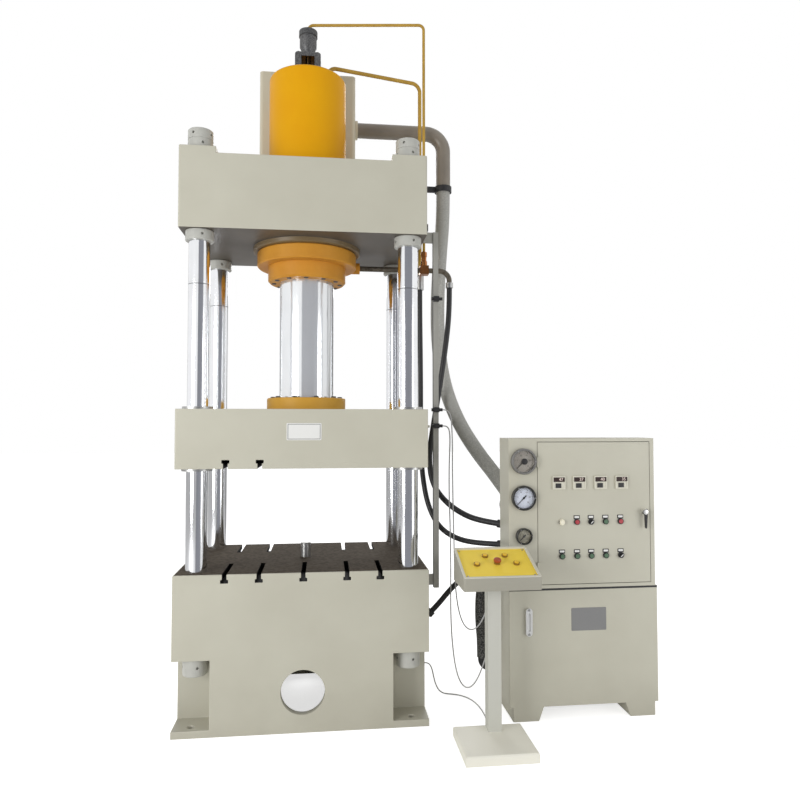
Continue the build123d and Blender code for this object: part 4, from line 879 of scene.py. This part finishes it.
def head_on_points(tree, start, points):
    """A head with a bevelled top on every point."""
    head = tree.nodes.new("GeometryNodeMeshCone")
    taper = tree.nodes.new("ShaderNodeMath")
    taper.operation = "MULTIPLY"
    taper.inputs[1].default_value = HEAD_TAPER_SHARE
    tree.links.new(start.outputs["Head Radius"], taper.inputs[0])
    tree.links.new(start.outputs["Sides"], head.inputs["Vertices"])
    tree.links.new(start.outputs["Head Radius"], head.inputs["Radius Bottom"])
    tree.links.new(taper.outputs[0], head.inputs["Radius Top"])
    tree.links.new(start.outputs["Head Height"], head.inputs["Depth"])
    spread = tree.nodes.new("GeometryNodeInstanceOnPoints")
    tree.links.new(points, spread.inputs["Points"])
    tree.links.new(head.outputs["Mesh"], spread.inputs["Instance"])
    return spread.outputs["Instances"]


INTEGER, FINISH = "NodeSocketInt", "NodeSocketMaterial"
HEAD_INPUTS = [
    ("Head Radius", FLOAT), ("Head Height", FLOAT), ("Sides", INTEGER), ("Finish", FINISH)
]
ring_tree, start, end = new_tree(
    "ring_of_heads", [("Count", INTEGER), ("Ring Radius", FLOAT)] + HEAD_INPUTS
)
circle = ring_tree.nodes.new("GeometryNodeMeshCircle")
ring_tree.links.new(start.outputs["Count"], circle.inputs["Vertices"])
ring_tree.links.new(start.outputs["Ring Radius"], circle.inputs["Radius"])
end_tree(ring_tree, start, end, head_on_points(ring_tree, start, circle.outputs["Mesh"]))

grid_tree, start, end = new_tree(
    "grid_of_heads",
    [("Width", FLOAT), ("Depth", FLOAT), ("Across", INTEGER), ("Along", INTEGER)] + HEAD_INPUTS,
)
grid = grid_tree.nodes.new("GeometryNodeMeshGrid")
GRID_SOCKETS = {
    "Width": "Size X", "Depth": "Size Y", "Across": "Vertices X", "Along": "Vertices Y"
}
for label, socket in GRID_SOCKETS.items():
    grid_tree.links.new(start.outputs[label], grid.inputs[socket])
end_tree(grid_tree, start, end, head_on_points(grid_tree, start, grid.outputs["Mesh"]))
print("trees", ring_tree.name, grid_tree.name)


# %% Making a plain mesh from a tree
def plain_mesh(host):
    """What the host's modifiers or text make, as a plain mesh."""
    return bpy.data.meshes.new_from_object(
        host.evaluated_get(bpy.context.evaluated_depsgraph_get())
    )


def grow(name, jobs, body):
    """One piece from several runs of trees: jobs are (tree, place matrix, named inputs)."""
    whole = bmesh.new()
    finishes = []
    for tree, place, inputs in jobs:
        host = bpy.data.objects.new(name, bpy.data.meshes.new(name))
        scene.collection.objects.link(host)
        rule = host.modifiers.new("rule", "NODES")
        rule.node_group = tree
        for item in tree.interface.items_tree:
            if item.in_out == "INPUT":
                rule[item.identifier] = inputs[item.name]
        made = plain_mesh(host)
        made.transform(place)
        if inputs["Finish"] not in finishes:
            finishes.append(inputs["Finish"])
        made_index = finishes.index(inputs["Finish"])
        known = len(whole.faces)
        whole.from_mesh(made)
        whole.faces.ensure_lookup_table()
        for face in whole.faces[known:]:
            face.material_index = made_index
        bpy.data.objects.remove(host)
        bpy.data.meshes.remove(made)
    mesh = bpy.data.meshes.new(name)
    whole.to_mesh(mesh)
    whole.free()
    mesh.materials.clear()
    for material in finishes:
        mesh.materials.append(material)
    piece = bpy.data.objects.new(name, mesh)
    scene.collection.objects.link(piece)
    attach(piece, body)
    print(name, len(mesh.polygons), "faces")


def facing(x, y, z, normal=(0, -1, 0), right=(1, 0, 0)):
    """A place whose own Z looks along normal and whose own X is right."""
    out = Vector(normal).normalized()
    across = Vector(right).normalized()
    rise = out.cross(across)
    place = Matrix((across, rise, out)).transposed().to_4x4()
    place.translation = (x, y, z)
    return place


def ring(place, count, radius, head, height, material=STEEL, sides=6):
    """A ring of heads for grow."""
    return ring_tree, place, {
        "Count": count, "Ring Radius": radius, "Head Radius": head, "Head Height": height,
        "Sides": sides, "Finish": material,
    }


def rows(place, width, depth, across, along, head, height, material=STEEL, sides=6):
    """A grid of heads for grow."""
    return grid_tree, place, {
        "Width": width, "Depth": depth, "Across": across, "Along": along, "Head Radius": head,
        "Head Height": height, "Sides": sides, "Finish": material,
    }


UP, DOWN = (0, 0, 1), (0, 0, -1)

# %% Bolts of the press
GLAND_FOOT, RAM_FLANGE_TOP = 2.285, 1.645
VALVE_FOOT_TOP, VALVE_NECK_TOP = BARREL_TOP + 0.022, BARREL_TOP + 0.150
grow(
    "press_bolts",
    [
        ring(facing(0, 0, GLAND_FOOT, DOWN), 12, 0.182, 0.013, 0.004, IRON, 12),
        rows(facing(0, 0, VALVE_FOOT_TOP, UP), 0.152, 0.142, 2, 2, 0.007, 0.008, IRON, 12),
        rows(facing(0, 0, VALVE_NECK_TOP, UP), 0.105, 0.082, 2, 2, 0.009, 0.008, IRON, 12),
    ],
    "frame",
)
grow(
    "ram_flange_bolts",
    [ring(facing(0, 0, RAM_FLANGE_TOP, UP), 10, 0.184, 0.014, 0.009, IRON, 12)],
    "slide",
)

# %% Screws of the power unit and the console
LID_MIDDLE = (1.430, -0.115, 0.665)
GAUGE_X, GAUGE_RIM_Y = 1.111, -0.434
TOP_GAUGE_Z, MIDDLE_GAUGE_Z, BOTTOM_GAUGE_Z = 1.3130, 1.1271, 0.9328
LEVEL_GLASS = (1.134, -0.424, 0.500)
grow(
    "unit_screws",
    [
        rows(facing(*LID_MIDDLE, UP), 0.74, 0.51, 2, 5, 0.008, 0.006),
        rows(facing(*PANEL_TOP, CONSOLE_NORMAL), 0.315, 0.212, 2, 2, 0.0045, 0.003, STEEL, 10),
        ring(facing(GAUGE_X, GAUGE_RIM_Y, TOP_GAUGE_Z), 3, 0.060, 0.0035, 0.002, STEEL, 8),
        ring(facing(GAUGE_X, GAUGE_RIM_Y, MIDDLE_GAUGE_Z), 3, 0.058, 0.0035, 0.002, STEEL, 8),
        ring(facing(GAUGE_X, GAUGE_RIM_Y, BOTTOM_GAUGE_Z), 3, 0.0385, 0.0025, 0.002, STEEL, 8),
        rows(facing(*LEVEL_GLASS), 0.001, 0.122, 1, 2, 0.007, 0.004, CHROME, 6),
    ],
    "frame",
)

# %% [markdown]
# ## Dials
# A dial is a disc sunk in its case behind the lens, with ticks round three quarters of a turn and
# plain numbers. The ticks follow a rule, so one tree places long and short ones alike.

# %% Tick tree
tick_tree, start, end = new_tree(
    "dial_ticks",
    [
        ("Count", INTEGER), ("Radius", FLOAT), ("Length", FLOAT), ("Width", FLOAT),
        ("Finish", FINISH),
    ],
)
t = tick_tree.nodes
k = tick_tree.links
SWEEP = radians(270)
FIRST_TICK = radians(225)
TICK_THICK = 0.0004
points = t.new("GeometryNodePoints")
k.new(start.outputs["Count"], points.inputs["Count"])
index = t.new("GeometryNodeInputIndex")
steps = t.new("ShaderNodeMath")
steps.operation = "SUBTRACT"
steps.inputs[1].default_value = 1
k.new(start.outputs["Count"], steps.inputs[0])
share = t.new("ShaderNodeMath")
share.operation = "DIVIDE"
k.new(index.outputs[0], share.inputs[0])
k.new(steps.outputs[0], share.inputs[1])
turn = t.new("ShaderNodeMath")
turn.operation = "MULTIPLY_ADD"
turn.inputs[1].default_value = -SWEEP
turn.inputs[2].default_value = FIRST_TICK
k.new(share.outputs[0], turn.inputs[0])
spin = t.new("ShaderNodeCombineXYZ")
k.new(turn.outputs[0], spin.inputs["Z"])
tick = t.new("GeometryNodeMeshCube")
tick_size = t.new("ShaderNodeCombineXYZ")
tick_size.inputs["Z"].default_value = TICK_THICK
k.new(start.outputs["Length"], tick_size.inputs["X"])
k.new(start.outputs["Width"], tick_size.inputs["Y"])
k.new(tick_size.outputs[0], tick.inputs["Size"])
outward = t.new("GeometryNodeTransform")
shift = t.new("ShaderNodeCombineXYZ")
k.new(start.outputs["Radius"], shift.inputs["X"])
k.new(tick.outputs["Mesh"], outward.inputs["Geometry"])
k.new(shift.outputs[0], outward.inputs["Translation"])
spread = t.new("GeometryNodeInstanceOnPoints")
k.new(points.outputs[0], spread.inputs["Points"])
k.new(outward.outputs["Geometry"], spread.inputs["Instance"])
k.new(spin.outputs[0], spread.inputs["Rotation"])
end_tree(tick_tree, start, end, spread.outputs["Instances"])
print("tree", tick_tree.name)

# %% [markdown]
# The dial's own disc is a thin lathe form: a flat face with a small step at its rim. The numbers
# are text made into a mesh, placed one by one because Blender's text has its own outline.


# %% Discs, plates and numbers
def add_piece(name, mesh, material, body):
    """Link a finished mesh as a piece of a body."""
    mesh.materials.clear()
    mesh.materials.append(material)
    piece = bpy.data.objects.new(name, mesh)
    scene.collection.objects.link(piece)
    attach(piece, body)


def lathe_form(profile, place, sides=48):
    """A closed turned form from (radius, height) pairs, bottom first, round the place's Z."""
    form = bmesh.new()
    rings = []
    for radius, height in profile:
        rings.append([
            form.verts.new((radius * cos(tau * i / sides), radius * sin(tau * i / sides), height))
            for i in range(sides)
        ])
    for low_ring, high_ring in zip(rings, rings[1:]):
        for i in range(sides):
            j = (i + 1) % sides
            form.faces.new((low_ring[i], low_ring[j], high_ring[j], high_ring[i]))
    form.faces.new(list(reversed(rings[0])))
    form.faces.new(rings[-1])
    mesh = bpy.data.meshes.new("turned")
    form.to_mesh(mesh)
    form.free()
    mesh.transform(place)
    mesh.set_sharp_from_angle(angle=SHARP)
    return mesh


def rounded_plates(places, width, height, thick, corner=0.002):
    """Thin plates with round corners, all in one mesh, each flat on its place."""
    form = bmesh.new()
    for place in places:
        outline = []
        for cx, cy, begin in ((1, 1, 0), (-1, 1, 1), (-1, -1, 2), (1, -1, 3)):
            for step in range(4):
                angle = (begin + step / 3) * pi / 2
                x = cx * (width / 2 - corner) + corner * cos(angle)
                y = cy * (height / 2 - corner) + corner * sin(angle)
                outline.append((x, y))
        low_ring = [form.verts.new(place @ Vector((x, y, 0))) for x, y in outline]
        inner = 1 - thick / max(width, height)
        high_ring = [
            form.verts.new(place @ Vector((x * inner, y * inner, thick))) for x, y in outline
        ]
        count = len(outline)
        for i in range(count):
            j = (i + 1) % count
            form.faces.new((low_ring[i], low_ring[j], high_ring[j], high_ring[i]))
        form.faces.new(list(reversed(low_ring)))
        form.faces.new(high_ring)
    mesh = bpy.data.meshes.new("plates")
    form.to_mesh(mesh)
    form.free()
    return mesh


def numbers(labels, thick=0.0004):
    """One mesh of plain numbers: labels are (text, place matrix, size)."""
    form = bmesh.new()
    for text, place, size in labels:
        letters = bpy.data.curves.new("number", "FONT")
        letters.body = text
        letters.size = size
        letters.align_x = "CENTER"
        letters.align_y = "CENTER"
        letters.extrude = thick / 2
        letters.resolution_u = 3
        host = bpy.data.objects.new("number", letters)
        scene.collection.objects.link(host)
        made = plain_mesh(host)
        made.transform(place)
        form.from_mesh(made)
        bpy.data.objects.remove(host)
        bpy.data.meshes.remove(made)
    mesh = bpy.data.meshes.new("numbers")
    form.to_mesh(mesh)
    form.free()
    return mesh


# %% Three dials
DIAL_Y = -0.4182
DIAL_SHARE = 0.415
DIAL_LIFT = 0.0011
NUMBER_RING_SHARE, NUMBER_SIZE_SHARE = 0.60, 0.085
STEP = 5
DIALS = [  # name, height, case size, marks, ground
    ("top", TOP_GAUGE_Z, 0.132, 5, DIAL_BROWN),
    ("middle", MIDDLE_GAUGE_Z, 0.126, 5, DIAL),
    ("bottom", BOTTOM_GAUGE_Z, 0.084, 4, DIAL_OLIVE),
]
TICKS = [  # small steps in a mark, shares of the face for radius and length, of the case for width
    (1, 0.84, 0.16, 0.012),
    (STEP, 0.88, 0.08, 0.006),
]
for name, height, size, marks, ground in DIALS:
    face = size * DIAL_SHARE
    place = facing(GAUGE_X, DIAL_Y, height)
    disc = [(face, 0), (face, 0.0006), (face * 0.985, 0.0009)]
    add_piece(name + "_dial", lathe_form(disc, place), ground, "frame")
    lifted = place @ Matrix.Translation((0, 0, DIAL_LIFT))
    grow(
        name + "_dial_ticks",
        [
            (tick_tree, lifted, {
                "Count": marks * small + 1, "Radius": face * radius, "Length": face * length,
                "Width": size * width, "Finish": INK,
            })
            for small, radius, length, width in TICKS
        ],
        "frame",
    )
    labels = []
    reach = face * NUMBER_RING_SHARE
    for mark in range(marks + 1):
        angle = FIRST_TICK - SWEEP * mark / marks
        spot = lifted @ Matrix.Translation((reach * cos(angle), reach * sin(angle), 0))
        labels.append((str(mark * STEP), spot, size * NUMBER_SIZE_SHARE))
    add_piece(name + "_dial_numbers", numbers(labels), INK, "frame")
print("dials", len(DIALS))

# %% Knob in the middle of the top gauge's lens
KNOB = [(0.015, 0), (0.016, 0.004), (0.015, 0.010), (0.010, 0.012)]
LENS_FRONT = -0.4311
knob = lathe_form(KNOB, facing(GAUGE_X, LENS_FRONT, TOP_GAUGE_Z), 32)
add_piece("gauge_knob", knob, BLACK, "frame")
print("knob made")

# %% [markdown]
# ## Door: meters, label plates and lamp
# Four digital meters sit in a row. Each has a dark window with lit digits over a small dark key
# field. The label places over the buttons are left as bare white plates.

# %% Meter windows
METER_X = (1.2988, 1.4077, 1.5221, 1.6359)
METER_Z = 1.2019
METER_Y = UNIT_FRONT - 0.0068
WINDOW_RISE, WINDOW_SIZE = 0.0165, (0.062, 0.024, 0.0034)
KEY_DROP, KEY_SHIFT, KEY_SIZE = 0.0150, 0.004, (0.031, 0.025, 0.0034)
DIGIT_SHIFT, DIGIT_LIFT, DIGIT_SIZE = 0.009, 0.0036, 0.022
READINGS = ("47", "37", "40", "35")
windows = [facing(x, METER_Y, METER_Z + WINDOW_RISE) for x in METER_X]
keys = [facing(x - KEY_SHIFT, METER_Y, METER_Z - KEY_DROP) for x in METER_X]
digits = [facing(x + DIGIT_SHIFT, METER_Y - DIGIT_LIFT, METER_Z + WINDOW_RISE) for x in METER_X]
readings = [(text, place, DIGIT_SIZE) for text, place in zip(READINGS, digits)]
add_piece("meter_windows", rounded_plates(windows, *WINDOW_SIZE), WINDOW, "door")
add_piece("meter_keys", rounded_plates(keys, *KEY_SIZE), INK, "door")
add_piece("meter_readings", numbers(readings), GLOW, "door")
print("meters", len(METER_X))

# %% Bare label plates over the door's controls
CONTROL_X = (LAMP_X, 1.3933, 1.4691, 1.5474, 1.6281)
UPPER_Z, LOWER_Z = 1.0004, 0.8264
LABEL_RISE = 0.0235
HOLDER_SIZE, LABEL_SIZE = (0.033, 0.020, 0.0020), (0.025, 0.0105, 0.0010)
LABEL_SHIFT = (0, 0.001, 0.0016)
holders = [facing(x, UNIT_FRONT, UPPER_Z + LABEL_RISE) for x in CONTROL_X[1:]]
holders += [facing(x, UNIT_FRONT, LOWER_Z + LABEL_RISE) for x in CONTROL_X]
fronts = [place @ Matrix.Translation(LABEL_SHIFT) for place in holders]
add_piece("label_holders", rounded_plates(holders, *HOLDER_SIZE), BLACK, "door")
add_piece("control_labels", rounded_plates(fronts, *LABEL_SIZE), PLATE_WHITE, "door")
print("label plates", len(holders))

# %% Bare plates on the slide and the tank
PLATE_THICK, PLATE_CORNER = 0.0015, 0.004
SLIDE_FRONT, SLIDE_PLATE_Z, SLIDE_PLATE_SIZE = -0.395, 1.4665, (0.172, 0.085)
TANK_PLATE_X, TANK_PLATE_Z, TANK_PLATE_SIZE = 1.453, 0.504, (0.186, 0.116)
BORDER_Y, BORDER_THICK, BORDER_CORNER = -0.3966, 0.0004, 0.0005
BORDER = {  # places from the plate's middle, width, height
    "rows": ([(0, 0.0365), (0, -0.0365)], 0.160, 0.002),
    "sides": ([(0.079, 0), (-0.079, 0)], 0.002, 0.073),
}
slide_place = facing(0, SLIDE_FRONT, SLIDE_PLATE_Z)
tank_place = facing(TANK_PLATE_X, UNIT_FRONT, TANK_PLATE_Z)
slide_plate = rounded_plates([slide_place], *SLIDE_PLATE_SIZE, PLATE_THICK, PLATE_CORNER)
tank_plate = rounded_plates([tank_place], *TANK_PLATE_SIZE, PLATE_THICK, PLATE_CORNER)
add_piece("slide_plate", slide_plate, PLATE_WHITE, "slide")
add_piece("tank_plate", tank_plate, PLATE_GREY, "frame")
for edge, (shifts, wide, tall) in BORDER.items():
    places = [facing(x, BORDER_Y, SLIDE_PLATE_Z + z) for x, z in shifts]
    lines = rounded_plates(places, wide, tall, BORDER_THICK, BORDER_CORNER)
    add_piece("slide_plate_" + edge, lines, INK, "slide")
print("bare plates made")

# %% Lines on the columns and the selectors (partly the lever's white mark, partly a painted highlight), cap on the lever, sleeve on the pipe
GROOVE_Z = 2.200
GROOVE = [(0.0515, 0), (0.0528, 0.0004), (0.0528, 0.0030), (0.0515, 0.0034)]
COLUMN_X, COLUMN_Y = 0.528, 0.315
grooves = bmesh.new()
for x in (-COLUMN_X, COLUMN_X):
    for y in (-COLUMN_Y, COLUMN_Y):
        grooves.from_mesh(lathe_form(GROOVE, Matrix.Translation((x, y, GROOVE_Z)), 64))
groove_mesh = bpy.data.meshes.new("grooves")
grooves.to_mesh(groove_mesh)
grooves.free()
add_piece("column_lines", groove_mesh, INK, "frame")
# White line along each selector lever: partly its white mark, partly a painted highlight.
LINE_SIZE, LINE_SINK = (0.0040, 0.0170, 0.0006, 0.001), 0.0001
LINE_TURN = Matrix.Rotation(radians(-45), 4, "Z")
for selector in ("mode_selector", "pressure_selector"):
    low_corner, high_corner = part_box(selector)
    middle = (low_corner + high_corner) / 2
    place = facing(middle.x, low_corner.y + LINE_SINK, middle.z) @ LINE_TURN
    add_piece(
        selector + "_line", rounded_plates([place], *LINE_SIZE),
        PLATE_WHITE, nodes[selector]["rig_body"],
    )
HANDLE_CAP = [(0.013, 0), (0.013, 0.0020), (0.011, 0.0032)]
lever_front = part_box("door_handle")[0].y
cap_place = facing(HANDLE_X - 0.003, lever_front, HANDLE_Z + 0.001)
add_piece(
    "handle_cap", lathe_form(HANDLE_CAP, cap_place, 32), BRIGHT, "door_handle"
)
SLEEVE = [
    (0.012, 0), (0.019, 0.002), (0.019, 0.028), (0.015, 0.032), (0.015, 0.055), (0.018, 0.058),
    (0.018, 0.082), (0.010, 0.088),
]
SLEEVE_FOOT = (0.680, 0.120, 2.434)
sleeve = lathe_form(SLEEVE, Matrix.Translation(SLEEVE_FOOT), 32)
add_piece("copper_sleeve", sleeve, COPPER, "frame")
print("column lines, selector lines, handle cap and sleeve made")

# %% [markdown]
# ## Floor
# One large pale plane carries the machine's shadow. It is part of the stage, not of the press.

# %% Floor
FLOOR_SIZE = 60.0
FLOOR_GREY, FLOOR_GLOW = 0.90, 0.66
floor_mesh = bpy.data.meshes.new("floor")
side = FLOOR_SIZE / 2
floor_mesh.from_pydata(
    [(-side, -side, 0), (side, -side, 0), (side, side, 0), (-side, side, 0)], [], [(0, 1, 2, 3)]
)
floor = bpy.data.objects.new("floor", floor_mesh)
scene.collection.objects.link(floor)
floor_white = bpy.data.materials.new("floor_white")
floor_white.use_nodes = True
tree = floor_white.node_tree
matt = tree.nodes["Principled BSDF"]
matt.inputs["Base Color"].default_value = (FLOOR_GREY, FLOOR_GREY, FLOOR_GREY, 1)
matt.inputs["Roughness"].default_value = 0.9
matt.inputs["Specular IOR Level"].default_value = 0.0
lift = tree.nodes.new("ShaderNodeEmission")
lift.inputs["Strength"].default_value = FLOOR_GLOW
only_seen = tree.nodes.new("ShaderNodeLightPath")
dark = tree.nodes.new("ShaderNodeEmission")
dark.inputs["Strength"].default_value = 0.0
pick = tree.nodes.new("ShaderNodeMixShader")
both = tree.nodes.new("ShaderNodeAddShader")
tree.links.new(only_seen.outputs["Is Camera Ray"], pick.inputs[0])
tree.links.new(dark.outputs[0], pick.inputs[1])
tree.links.new(lift.outputs[0], pick.inputs[2])
tree.links.new(matt.outputs[0], both.inputs[0])
tree.links.new(pick.outputs[0], both.inputs[1])
tree.links.new(both.outputs[0], tree.nodes["Material Output"].inputs["Surface"])
floor_mesh.materials.append(floor_white)
print("floor", FLOOR_SIZE, "m wide")

# %% Close
scene.view_settings.view_transform = "Standard"
